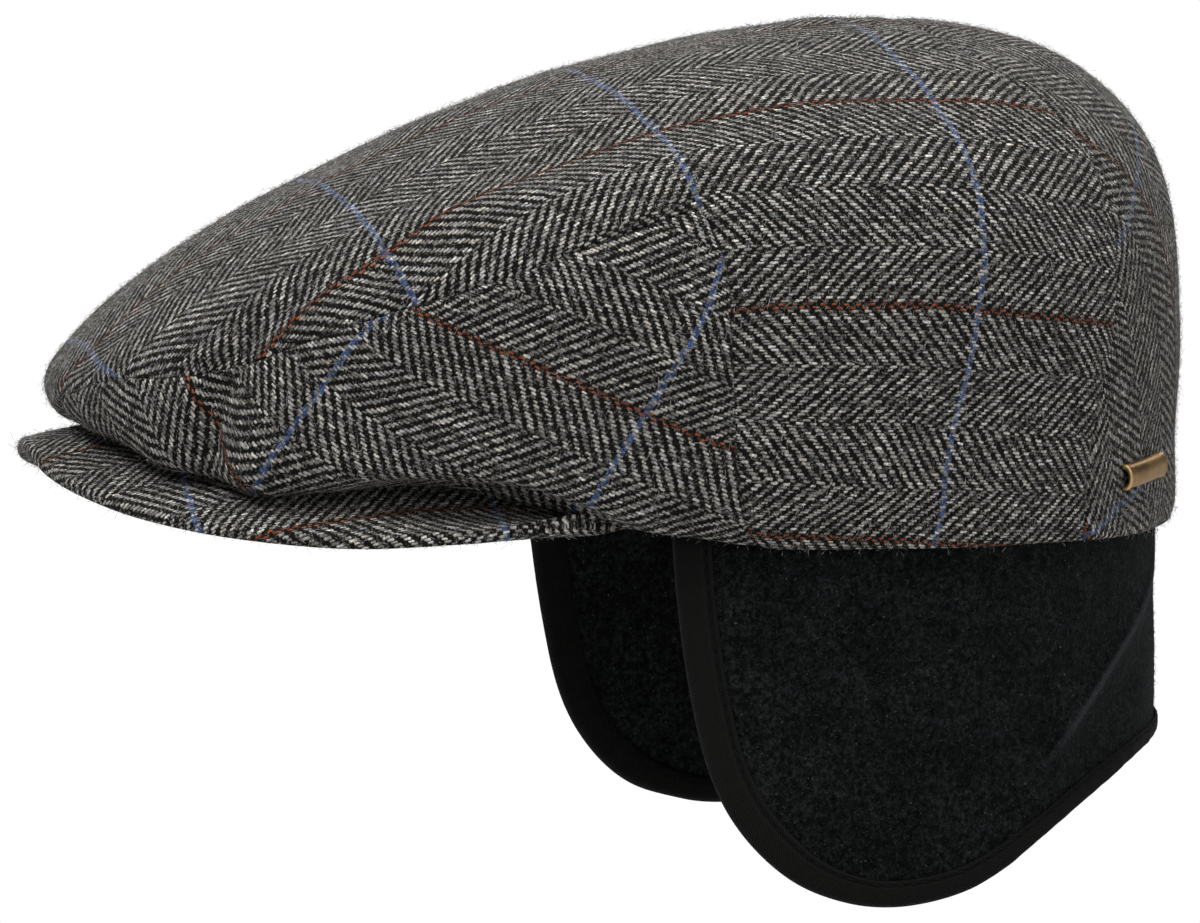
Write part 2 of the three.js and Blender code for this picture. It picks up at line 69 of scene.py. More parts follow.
# yBack, yFront, halfWidth, yWide, zBack, zSide, zFront, nBack, nFront, pFront, lift, tuck
LEVELS = np.array([
    [102.0, -103.9, 85.8, 7.5, 1.0, 2.2, 30.5, 2.20, 2.15, 2.0, 0.0, 0.0],
    [104.2, -123.8, 88.0, 5.3, 6.3, 7.4, 28.8, 2.09, 2.25, 4.6, 9.3, 0.03],
    [104.6, -142.0, 90.5, 3.2, 20.1, 15.6, 26.5, 2.03, 2.35, 7.5, 5.6, 0.0],
    [105.2, -148.1, 91.9, 1.7, 45.4, 42.9, 32.2, 2.11, 2.28, 2.84, 0.5, 0.0],
    [103.1, -144.7, 90.5, 1.7, 72.7, 65.5, 39.3, 2.11, 2.32, 2.25, 0.0, 0.0],
    [93.6, -133.7, 82.5, 1.8, 93.5, 83.9, 50.5, 2.06, 2.23, 1.88, 0.0, 0.0],
    [76.2, -113.5, 66.6, 3.0, 106.4, 96.0, 65.6, 2.07, 2.23, 1.23, 0.0, 0.0],
    [54.5, -79.6, 46.7, 5.2, 112.1, 104.2, 83.7, 2.02, 2.08, 1.29, 0.0, 0.0],
    [30.8, -38.1, 23.8, 8.3, 113.5, 109.8, 100.4, 1.99, 2.01, 1.14, 0.0, 0.0],
    [13.9, 13.9, 0.0, 13.9, 111.6, 111.6, 111.6, 2.00, 2.00, 1.50, 0.0, 0.0],
])
OVERHANG = (106, 119, 123, 143)   # angles where the loose front hangs over the peak
# seams: angle in degrees from the back, level from the hem to the top
SIDE_SEAM = [(98.8, 0.00), (98.0, 0.10), (97.2, 0.20), (97.0, 0.31), (97.3, 0.41), (98.2, 0.46), (99.7, 0.502)]
TOP_SEAM = [(99.7, 0.502), (106.5, 0.478), (114.0, 0.447), (121.0, 0.427), (128.5, 0.405), (137.0, 0.371),
            (144.0, 0.361), (150.0, 0.368), (155.0, 0.381), (161.5, 0.374), (171.5, 0.325)]
TONGUE_SEAM = [(171.5, 0.325), (175.0, 0.260), (176.4, 0.150), (177.3, 0.000)]
BACK_SEAM = [(53.0, 0.00), (52.3, 0.10), (50.8, 0.24), (47.2, 0.345), (45.6, 0.42), (44.7, 0.485), (44.8, 0.530)]
CROSS_SEAM = [(44.8, 0.530), (45.3, 0.569), (45.7, 0.611), (45.6, 0.670), (40.9, 0.741), (27.6, 0.806), (0.0, 0.835)]
# x, y, z from the tip to the end
PEAK_RIM = [(0.0, -154.0, 22.6), (12.0, -153.4, 21.4), (23.4, -151.5, 18.6), (38.1, -146.1, 15.5),
            (52.7, -135.4, 11.9), (65.9, -118.4, 8.9), (76.1, -94.8, 7.2), (81.8, -68.4, 8.5), (81.4, -42.0, 8.9)]
# length along the band, height of its lower edge
BAND_EDGE = [(0.0, -43.6), (15.0, -43.7), (29.5, -44.4), (43.0, -45.6), (57.0, -48.3), (73.6, -54.3),
             (86.3, -60.9), (97.6, -67.2), (108.6, -71.4), (122.3, -73.4), (134.5, -72.0), (146.7, -66.7),
             (157.2, -56.6), (163.8, -44.0), (168.1, -26.0), (170.6, -8.0), (171.5, 4.0)]


# ---------------------------------------------------------------- curves
def smooth(e0, e1, x):
    k = np.clip((x - e0) / (e1 - e0), 0, 1)
    return k * k * (3 - 2 * k)


def unit(v):
    return v / (np.linalg.norm(v, axis=-1, keepdims=True) + 1e-12)


def curve(rows, even=(), middle="start"):
    """Smooth curve through the rows, read at 0..1 of its columns. even: columns that
    come back the same across the middle plane."""
    T = np.array(rows, float)
    g0, g1 = 2 * T[0] - T[1], 2 * T[-1] - T[-2]
    for k in even:
        if middle == "start":
            g0[k] = T[1][k]
        else:
            g1[k] = T[-2][k]
    E = np.vstack([g0, T, g1])
    n = len(T) - 1

    def read(s):
        x = np.atleast_1d(np.asarray(s, float)) * n
        i = np.clip(np.floor(x).astype(int), 0, n - 1)
        f = (x - i)[:, None]
        p0, p1, p2, p3 = E[i], E[i + 1], E[i + 2], E[i + 3]
        return 0.5 * (2 * p1 + (p2 - p0) * f + (2 * p0 - 5 * p1 + 4 * p2 - p3) * f * f
                      + (3 * p1 - p0 - 3 * p2 + p3) * f ** 3)
    return read


def level_point(k, g):
    yb, yf, hw, yw, zb, zs, zf, nb, nf, pf, lift, tuck = np.moveaxis(LEVELS[k], -1, 0)
    c, s = np.cos(g), np.sin(g)
    n = np.where(c >= 0, nb, nf)
    reach = np.maximum(np.where(c >= 0, yb - yw, yw - yf), 1e-6)
    r = (np.abs(c) ** n + np.abs(s) ** n) ** (-1 / n)
    back, front = np.maximum(0, r * c), np.maximum(0, -r * c)
    turn = np.degrees(np.arccos(np.clip(c, -1, 1)))
    over = smooth(OVERHANG[0], OVERHANG[1], turn) * (1 - smooth(OVERHANG[2], OVERHANG[3], turn))
    r = r * (1 - tuck * over)
    up = np.where(k == 0, 1.4 * smooth(97, 109, turn) * (1 - smooth(116, 128, turn)), 0)      # slack of the hem behind the peak
    return np.stack([np.maximum(hw, 1e-6) * r * s, yw + reach * r * c,
                     zs + (zb - zs) * back ** 2 + (zf - zs) * front ** pf + lift * over + up], -1)


def crown_at(g, level):
    g, level = np.broadcast_arrays(np.asarray(g, float), np.asarray(level, float))
    n = len(LEVELS) - 1
    x = level * n
    i = np.clip(np.floor(x).astype(int), 0, n - 1)
    f = (x - i)[..., None]
    p1, p2 = level_point(i, g), level_point(i + 1, g)
    p0 = np.where((i > 0)[..., None], level_point(np.maximum(i - 1, 0), g), 2 * p1 - p2)
    p3 = np.where((i + 2 <= n)[..., None], level_point(np.minimum(i + 2, n), g), level_point(np.full(i.shape, n - 1), g + PI))
    return ((-0.5 * f + f * f - 0.5 * f ** 3) * p0 + (1 - 2.5 * f * f + 1.5 * f ** 3) * p1
            + (0.5 * f + 2 * f * f - 1.5 * f ** 3) * p2 + (-0.5 * f * f + 0.5 * f ** 3) * p3)


def disc(g_deg, level):
    g = np.radians(g_deg)
    return np.stack([(1 - level) * np.sin(g), (1 - level) * np.cos(g)], -1)


def crown_disc(q):
    return crown_at(np.arctan2(q[..., 0], q[..., 1]), 1 - np.hypot(q[..., 0], q[..., 1]))


def crown_normal(q):
    h = 0.004
    da = crown_disc(q + [h, 0]) - crown_disc(q - [h, 0])
    db = crown_disc(q + [0, h]) - crown_disc(q - [0, h])
    return unit(np.cross(da, db))


def seam(rows, even=()):
    read = curve(rows, even, "end")

    def at(s):
        t = read(s)
        return disc(t[:, 0], t[:, 1])
    return at


def mirror(q):
    return q * [-1, 1]


side_at, top_at, tongue_at, back_at = seam(SIDE_SEAM), seam(TOP_SEAM), seam(TONGUE_SEAM), seam(BACK_SEAM)
half_cross = seam(CROSS_SEAM, even=(1,))
CORNER = side_at([1.0])[0]


def cross_at(s):
    s = np.asarray(s, float)
    near = half_cross(np.minimum(s, 1 - s) * 2)
    return np.where((s > 0.5)[:, None], mirror(near), near)


def hem_at(g0, g1):
    return lambda s: disc(g0 + (g1 - g0) * np.asarray(s, float), np.zeros(len(s)))


def catmull(vals, x):
    """Smooth reading of rows 0..n of vals at the numbers x."""
    n = len(vals) - 1
    E = np.concatenate([2 * vals[:1] - vals[1:2], vals, 2 * vals[-1:] - vals[-2:-1]])
    i = np.clip(np.floor(x).astype(int), 0, n - 1)
    f = (x - i).reshape((-1,) + (1,) * (vals.ndim - 1))
    p0, p1, p2, p3 = E[i], E[i + 1], E[i + 2], E[i + 3]
    return 0.5 * (2 * p1 + (p2 - p0) * f + (2 * p0 - 5 * p1 + 4 * p2 - p3) * f * f
                  + (3 * p1 - p0 - 3 * p2 + p3) * f ** 3)


def coons(bottom, top, left, right, u, v):
    """Points of the patch at the numbers v (rows) and u (columns), 0..1."""
    B, T, L, R = bottom(u), top(u), left(v), right(v)
    U, W = u[None, :, None], v[:, None, None]
    c00, c10 = bottom(np.array([0.0]))[0], bottom(np.array([1.0]))[0]
    c01, c11 = top(np.array([0.0]))[0], top(np.array([1.0]))[0]
    return ((1 - W) * B[None] + W * T[None] + (1 - U) * L[:, None] + U * R[:, None]
            - (1 - U) * (1 - W) * c00 - U * (1 - W) * c10 - (1 - U) * W * c01 - U * W * c11)


def relaxed(bottom, top, left, right, nu, nv, passes):
    """The same patch with its inner points evened out, as a function of u and v."""
    u, v = np.linspace(0, 1, nu + 1), np.linspace(0, 1, nv + 1)
    base = coons(bottom, top, left, right, u, v)
    G = base.copy()
    for _ in range(passes):
        for j in range(1, nv):
            for i in range(1, nu):
                G[j, i] = (G[j - 1, i] + G[j + 1, i] + G[j, i - 1] + G[j, i + 1]) / 4
    D = G - base

    def at(uu, vv):
        d = catmull(D, vv * nv)
        d = np.moveaxis(catmull(np.moveaxis(d, 1, 0), uu * nu), 0, 1)
        return coons(bottom, top, left, right, uu, vv) + d
    return at


def spread(n, lo=0.75, hi=0.75):
    """n cells over 0..1, finer towards an end by its share."""
    s = np.linspace(0, 1, n + 1)
    w = 1 - lo * np.exp(-(s / 0.09) ** 1.5) - hi * np.exp(-((1 - s) / 0.09) ** 1.5)
    c = np.concatenate([[0], np.cumsum((w[1:] + w[:-1]) / 2)])
    return c / c[-1]


# ---------------------------------------------------------------- meshes
def add_mesh(name, V, faces, uv=None, material=None, smooth_faces=True):
    """V in mm; faces as arrays of corner numbers (quads and triangles)."""
    me = bpy.data.meshes.new(name)
    faces = [np.asarray(f, int) for f in faces if len(f)]
    count = [len(f) for f in faces]
    loops = np.concatenate([f.ravel() for f in faces])
    sizes = np.concatenate([np.full(len(f), f.shape[1]) for f in faces])
    me.vertices.add(len(V))
    me.vertices.foreach_set("co", (np.asarray(V, float) * MM).ravel())
    me.loops.add(len(loops))
    me.loops.foreach_set("vertex_index", loops)
    me.polygons.add(sum(count))
    me.polygons.foreach_set("loop_start", np.concatenate([[0], np.cumsum(sizes)[:-1]]))
    me.polygons.foreach_set("use_smooth", np.full(sum(count), smooth_faces))
    me.update(calc_edges=True)
    me.validate()
    if uv is not None:
        layer = me.uv_layers.new(name="weave")
        layer.data.foreach_set("uv", np.asarray(uv, float)[loops].ravel())
    ob = bpy.data.objects.new(name, me)
    bpy.context.scene.collection.objects.link(ob)
    if material:
        me.materials.append(material)
    return ob


def volume(V, faces):
    t = []
    for f in faces:
        f = np.asarray(f)
        if not len(f):
            continue
        t.append(f[:, :3])
        if f.shape[1] == 4:
            t.append(f[:, [0, 2, 3]])
    t = np.concatenate(t)
    return np.einsum("ij,ij->i", V[t[:, 0]], np.cross(V[t[:, 1]], V[t[:, 2]])).sum() / 6


def sheet_solid(face, back, cells):
    """Closed sheet between two grids of points; cells says which cells it has."""
    R, C = face.shape[:2]
    idx = np.arange(R * C).reshape(R, C)
    used = np.zeros((R, C), bool)
    for dj in (0, 1):
        for di in (0, 1):
            used[dj:R - 1 + dj, di:C - 1 + di] |= cells
    remap = -np.ones(R * C, int)
    keep = used.ravel()
    remap[keep] = np.arange(keep.sum())
    n = keep.sum()
    f0 = remap[idx]
    j, i = np.nonzero(cells)
    a, b, c, d = f0[j, i], f0[j, i + 1], f0[j + 1, i + 1], f0[j + 1, i]
    faces = [np.stack([a, b, c, d], 1), np.stack([a, d, c, b], 1) + n]
    pad = np.zeros((R + 1, C + 1), bool)
    pad[1:R, 1:C] = cells
    walls = []
    for (dj, di, e) in ((-1, 0, (1, 0)), (1, 0, (3, 2)), (0, -1, (0, 3)), (0, 1, (2, 1))):
        free = ~pad[j + 1 + dj, i + 1 + di]
        corner = [a[free], b[free], c[free], d[free]]
        p, q = corner[e[0]], corner[e[1]]
        walls.append(np.stack([p, q, q + n, p + n], 1))
    faces.append(np.concatenate(walls))
    V = np.concatenate([face.reshape(-1, 3)[keep], back.reshape(-1, 3)[keep]])
    if volume(V, faces) < 0:
        faces = [f[:, ::-1] for f in faces]
    return V, faces, keep


def free_edges(P, cells):
    """Which points lie on a free edge of the cells, as a mask over the grid."""
    R, C = P.shape[:2]
    pad = np.zeros((R + 1, C + 1), bool)
    pad[1:R, 1:C] = cells
    count = (pad[:-1, :-1].astype(int) + pad[1:, :-1] + pad[:-1, 1:] + pad[1:, 1:])
    return (count > 0) & (count < 4)


# ---------------------------------------------------------------- flattening
def flatten(P, tris, start, con, rounds=60):
    """Lay a sheet of triangles out flat as cloth lies, pulled to the threads that
    con names: rows of (three corners, their shares, 0 for u or 1 for v, value, weight)."""
    n = len(P)
    a, b, c = P[tris[:, 0]], P[tris[:, 1]], P[tris[:, 2]]
    e1 = unit(b - a)
    nor = unit(np.cross(b - a, c - a))
    e2 = np.cross(nor, e1)
    X = np.zeros((len(tris), 3, 2))
    X[:, 1, 0] = np.einsum("ij,ij->i", b - a, e1)
    X[:, 2, 0] = np.einsum("ij,ij->i", c - a, e1)
    X[:, 2, 1] = np.einsum("ij,ij->i", c - a, e2)
    S = start[tris]
    area = np.cross(S[:, 1] - S[:, 0], S[:, 2] - S[:, 0])
    if np.median(area) < 0:
        X[:, :, 1] *= -1
    W = np.zeros((len(tris), 3))
    for k in range(3):
        i, j, o = (k + 1) % 3, (k + 2) % 3, k
        p, q = X[:, i] - X[:, o], X[:, j] - X[:, o]
        W[:, k] = np.clip((p * q).sum(1) / (np.abs(np.cross(p, q)) + 1e-9), 0.08, 6.0)
    L = np.zeros((n, n))
    for k in range(3):
        i, j = tris[:, (k + 1) % 3], tris[:, (k + 2) % 3]
        np.add.at(L, (i, i), W[:, k]); np.add.at(L, (j, j), W[:, k])
        np.add.at(L, (i, j), -W[:, k]); np.add.at(L, (j, i), -W[:, k])
    inv, add = [], []
    for axis in (0, 1):
        A, r = L.copy(), np.zeros(n)
        A[0, 0] += 1e-5
        for corners, share, ax, value, weight in con:
            if ax != axis:
                continue
            A[np.ix_(corners, corners)] += weight * np.outer(share, share)
            r[corners] += weight * value * np.array(share)
        inv.append(np.linalg.inv(A)); add.append(r)
    uv = start.copy()
    for _ in range(rounds):
        Y = uv[tris]
        s00 = np.zeros(len(tris)); s10 = np.zeros(len(tris))
        for k in range(3):
            i, j = (k + 1) % 3, (k + 2) % 3
            ex, ey = X[:, i] - X[:, j], Y[:, i] - Y[:, j]
            s00 += W[:, k] * (ex * ey).sum(1)
            s10 += W[:, k] * (ex[:, 0] * ey[:, 1] - ex[:, 1] * ey[:, 0])
        m = np.hypot(s00, s10) + 1e-12
        co, si = s00 / m, s10 / m
        rhs = [add[0].copy(), add[1].copy()]
        for k in range(3):
            i, j = (k + 1) % 3, (k + 2) % 3
            ex = (X[:, i] - X[:, j]) * W[:, k][:, None]
            rx, ry = co * ex[:, 0] - si * ex[:, 1], si * ex[:, 0] + co * ex[:, 1]
            np.add.at(rhs[0], tris[:, i], rx); np.add.at(rhs[0], tris[:, j], -rx)
            np.add.at(rhs[1], tris[:, i], ry); np.add.at(rhs[1], tris[:, j], -ry)
        uv = np.stack([inv[0] @ rhs[0], inv[1] @ rhs[1]], 1)
    return uv


def grid_tris(idx, cells):
    j, i = np.nonzero(cells)
    a, b, c, d = idx[j, i], idx[j, i + 1], idx[j + 1, i + 1], idx[j + 1, i]
    return np.concatenate([np.stack([a, b, c], 1), np.stack([a, c, d], 1)])


def locate(Q, tris, q):
    """Triangle of the flat disc points Q that holds q, with the shares of its corners."""
    a, b, c = Q[tris[:, 0]], Q[tris[:, 1]], Q[tris[:, 2]]
    den = np.cross(b - a, c - a)
    w1 = np.cross(q - a, c - a) / den
    w2 = np.cross(b - a, q - a) / den
    w0 = 1 - w1 - w2
    k = int(np.argmax(np.minimum(np.minimum(w0, w1), w2)))
    w = np.clip([w0[k], w1[k], w2[k]], 0, 1)
    return tris[k], w / w.sum()


def threads(Q, tris, table, weight=3.0):
    rows = []
    for axis, value, marks in table:
        for g, level in marks:
            corners, share = locate(Q, tris, disc(g, level))
            rows.append((corners, share, axis, value, weight))
    return rows


# ---------------------------------------------------------------- relief
# soft folds of the worn cloth: side of the cap, (angle, level) along the fold,
# width in mm, height in mm at its two ends (down is less than 0)
FOLDS = [
    (1, [(134.5, .487), (137.0, .438), (139.0, .400), (140.5, .350), (141.5, .318), (142.5, .290), (143.5, .255)], 3.6, -1.7, -4.0),
    (1, [(131.0, .400), (133.0, .330), (136.5, .275), (138.5, .240)], 6.0, 0.9, 2.1),
    (1, [(148.0, .330), (149.5, .280), (150.5, .240)], 5.5, 0.5, 1.5),
    (1, [(118.0, .400), (119.5, .340), (118.0, .285)], 8.0, -0.6, -1.5),
    (1, [(111.5, .340), (106.0, .295)], 7.0, -1.2, -0.9),
    (1, [(95.6, .370), (95.4, .300)], 4.5, -0.9, -0.5),
    (1, [(97.8, .240), (98.6, .190)], 6.0, 0.4, 0.6),
    (1, [(103.0, .190), (109.0, .200)], 5.0, -0.7, -0.9),
    (1, [(86.0, .250), (78.0, .180)], 11.0, -0.5, -0.3),
    (1, [(66.0, .330), (60.0, .230)], 12.0, -0.4, -0.3),
    (1, [(47.5, .300), (46.0, .180)], 8.0, -0.5, -0.3),
    (-1, [(133.0, .480), (136.0, .410), (139.5, .330), (141.0, .265)], 4.6, -0.5, -2.1),
    (-1, [(129.0, .400), (132.0, .320), (135.0, .260)], 7.0, 0.3, 0.9),
    (-1, [(119.5, .390), (117.0, .300)], 9.0, -0.5, -0.8),
    (-1, [(107.0, .330), (104.0, .260)], 8.0, -0.6, -0.3),
    (-1, [(92.0, .340), (91.0, .260)], 6.0, -0.7, -0.4),
    (-1, [(70.0, .300), (62.0, .220)], 12.0, -0.5, -0.4),
    (-1, [(153.0, .330), (154.5, .270)], 6.0, -0.4, -0.8),
]


def from_path(P, path):
    """Distance of the points P from a path, and how far along it they lie, 0..1."""
    best = np.full(P.shape[:-1], 1e9)
    along = np.zeros(P.shape[:-1])
    n = len(path) - 1
    for k in range(n):
        a, d = path[k], path[k + 1] - path[k]
        t = np.clip(((P - a) @ d) / (d @ d), 0, 1)
        r = np.linalg.norm(P - a - t[..., None] * d, axis=-1)
        hit = r < best
        best = np.where(hit, r, best)
        along = np.where(hit, (k + t) / n, along)
    return best, along


WAVES = [(rng.uniform(-1, 1, 3), rng.uniform(0, 2 * PI), w) for w in (62, 55, 48, 41, 36, 30, 26, 23)]


def relief(P, q):
    """How far the worn cloth stands off its plain shape, in mm."""
    h = np.zeros(P.shape[:-1])
    for side, path, width, h0, h1 in FOLDS:
        path = np.array([crown_at(np.radians(g), l) for g, l in path]) * [side, 1, 1]
        r, t = from_path(P, path)
        h += (h0 + (h1 - h0) * t) * np.exp(-(r / width) ** 2)
    for direction, phase, length in WAVES:
        h += 0.10 * np.sin(P @ (unit(direction) * 2 * PI / length) + phase)
    # the loose front swells a little over the peak and ripples along it
    g = np.degrees(np.abs(np.arctan2(q[..., 0], q[..., 1])))
    level = 1 - np.hypot(q[..., 0], q[..., 1])
    low = np.exp(-((level - 0.20) / 0.07) ** 2) * smooth(106, 120, g)
    h += low * (0.45 + 0.35 * np.sin(g * 0.42 + np.where(q[..., 0] > 0, 0.4, 2.1)))
    return h


def off_edge(P, lines):
    """Distance of the points from the nearest of some dense lines of points."""
    pts = np.concatenate(lines)
    tree = KDTree(len(pts))
    for k, p in enumerate(pts):
        tree.insert(p, k)
    tree.balance()
    flat = P.reshape(-1, 3)
    return np.array([tree.find(p)[2] for p in flat]).reshape(P.shape[:-1])


def roll(d, radius):
    """Drop of a rounded edge at the distance d from it."""
    k = np.clip(radius - d, 0, radius)
    return radius - np.sqrt(np.maximum(radius ** 2 - k ** 2, 0))


S200 = np.linspace(0, 1, 260)
LINE = {
    "side": crown_disc(side_at(S200)), "top": crown_disc(top_at(S200)), "tongue": crown_disc(tongue_at(S200)),
    "back": crown_disc(back_at(S200)), "cross": crown_disc(cross_at(np.linspace(0, 1, 700))),
    "hem": crown_at(np.linspace(0, 2 * PI, 2400), np.zeros(2400)),
}
FLIP = np.array([-1, 1, 1])


def dress(q, cells, seams):
    """Outer and inner face of a panel from its disc points."""
    P, N = crown_disc(q), crown_normal(q)
    lines = [LINE[s] for s in seams] + [LINE[s] * FLIP for s in seams if s != "cross"]
    d = off_edge(P, lines)
    hem = off_edge(P, [LINE["hem"]])
    h = relief(P, q)
    h -= roll(d, SEAM_ROLL) + 0.30 * np.exp(-(d / 2.2) ** 2) - 0.16 * np.exp(-((d - 4.2) / 2.4) ** 2)
    h -= roll(hem, HEM_ROLL)
    face = P + N * h[..., None]
    back = P - N * (CLOTH + np.minimum(0.0, 0.0) - np.minimum(h, 0.4) * 0.55 * smooth(1.0, 5.0, np.minimum(d, hem)))[..., None]
    # a hair of clear space along the free edges
    edge = free_edges(P, cells)
    R, C = edge.shape
    pull = np.zeros_like(P)
    cnt = np.zeros((R, C))
    idx = np.argwhere(edge)
    for j, i in idx:
        s = np.zeros(3)
        for dj, di in ((1, 0), (-1, 0), (0, 1), (0, -1)):
            jj, ii = j + dj, i + di
            if 0 <= jj < R and 0 <= ii < C and not edge[jj, ii] and not np.isnan(P[jj, ii, 0]):
                w = P[jj, ii] - P[j, i]
                s += w / (np.linalg.norm(w) + 1e-9)
        pull[j, i] = s
    pull = unit(pull) * (np.linalg.norm(pull, axis=-1, keepdims=True) > 0.1)
    face = face + pull * 0.06
    back = back + pull * 0.06
    return face, back, N


# ---------------------------------------------------------------- shader kit
class Nodes:
    """Short names for building a material."""

    def __init__(self, name):
        self.mat = bpy.data.materials.new(name)
        self.mat.use_nodes = True
        self.t = self.mat.node_tree
        self.bsdf = self.t.nodes["Principled BSDF"]

    def put(self, socket, value):
        if isinstance(value, bpy.types.NodeSocket):
            self.t.links.new(value, socket)
        elif isinstance(value, (tuple, list)) and len(value) == 3 and socket.type == "RGBA":
            socket.default_value = (*value, 1)
        else:
            socket.default_value = value

    def node(self, kind, ins=None, out=0, **props):
        n = self.t.nodes.new(kind)
        for k, v in props.items():
            setattr(n, k, v)
        for k, v in (ins or {}).items():
            self.put(n.inputs[k], v)
        return n.outputs[out]

    def m(self, op, a, b=None, c=None):
        n = self.t.nodes.new("ShaderNodeMath")
        n.operation = op
        for k, v in enumerate((a, b, c)):
            if v is not None:
                self.put(n.inputs[k], v)
        return n.outputs[0]

    def add(self, a, b): return self.m("ADD", a, b)
    def sub(self, a, b): return self.m("SUBTRACT", a, b)
    def mul(self, a, b): return self.m("MULTIPLY", a, b)
    def div(self, a, b): return self.m("DIVIDE", a, b)
    def floor(self, a): return self.m("FLOOR", a)
    def fract(self, a): return self.m("FRACT", a)
    def abs(self, a): return self.m("ABSOLUTE", a)
    def less(self, a, b): return self.m("LESS_THAN", a, b)
    def mad(self, a, b, c): return self.m("MULTIPLY_ADD", a, b, c)

    def step(self, a, lo, hi, to0=0.0, to1=1.0):
        return self.node("ShaderNodeMapRange", {0: a, 1: lo, 2: hi, 3: to0, 4: to1}, interpolation_type="SMOOTHSTEP")

    def xyz(self, x, y, z=0.0):
        return self.node("ShaderNodeCombineXYZ", {0: x, 1: y, 2: z})

    def noise(self, vec, scale, detail=2.0, rough=0.5, out=0):
        return self.node("ShaderNodeTexNoise", {"Vector": vec, "Scale": scale, "Detail": detail, "Roughness": rough}, out=out)

    def white(self, vec, out=0):
        return self.node("ShaderNodeTexWhiteNoise", {0: vec}, out=out, noise_dimensions="3D")

    def mix(self, fac, a, b, blend="MIX"):
        n = self.t.nodes.new("ShaderNodeMix")
        n.data_type = "RGBA"
        n.blend_type = blend
        self.put(n.inputs[0], fac)
        self.put(n.inputs[6], a)
        self.put(n.inputs[7], b)
        return n.outputs[2]

    def scale(self, colour, by):
        n = self.t.nodes.new("ShaderNodeVectorMath")
        n.operation = "SCALE"
        self.put(n.inputs[0], colour)
        self.put(n.inputs[3], by)
        return n.outputs[0]

    def finish(self, **sockets):
        for k, v in sockets.items():
            self.put(self.bsdf.inputs[k.replace("_", " ")], v)
        return self.mat


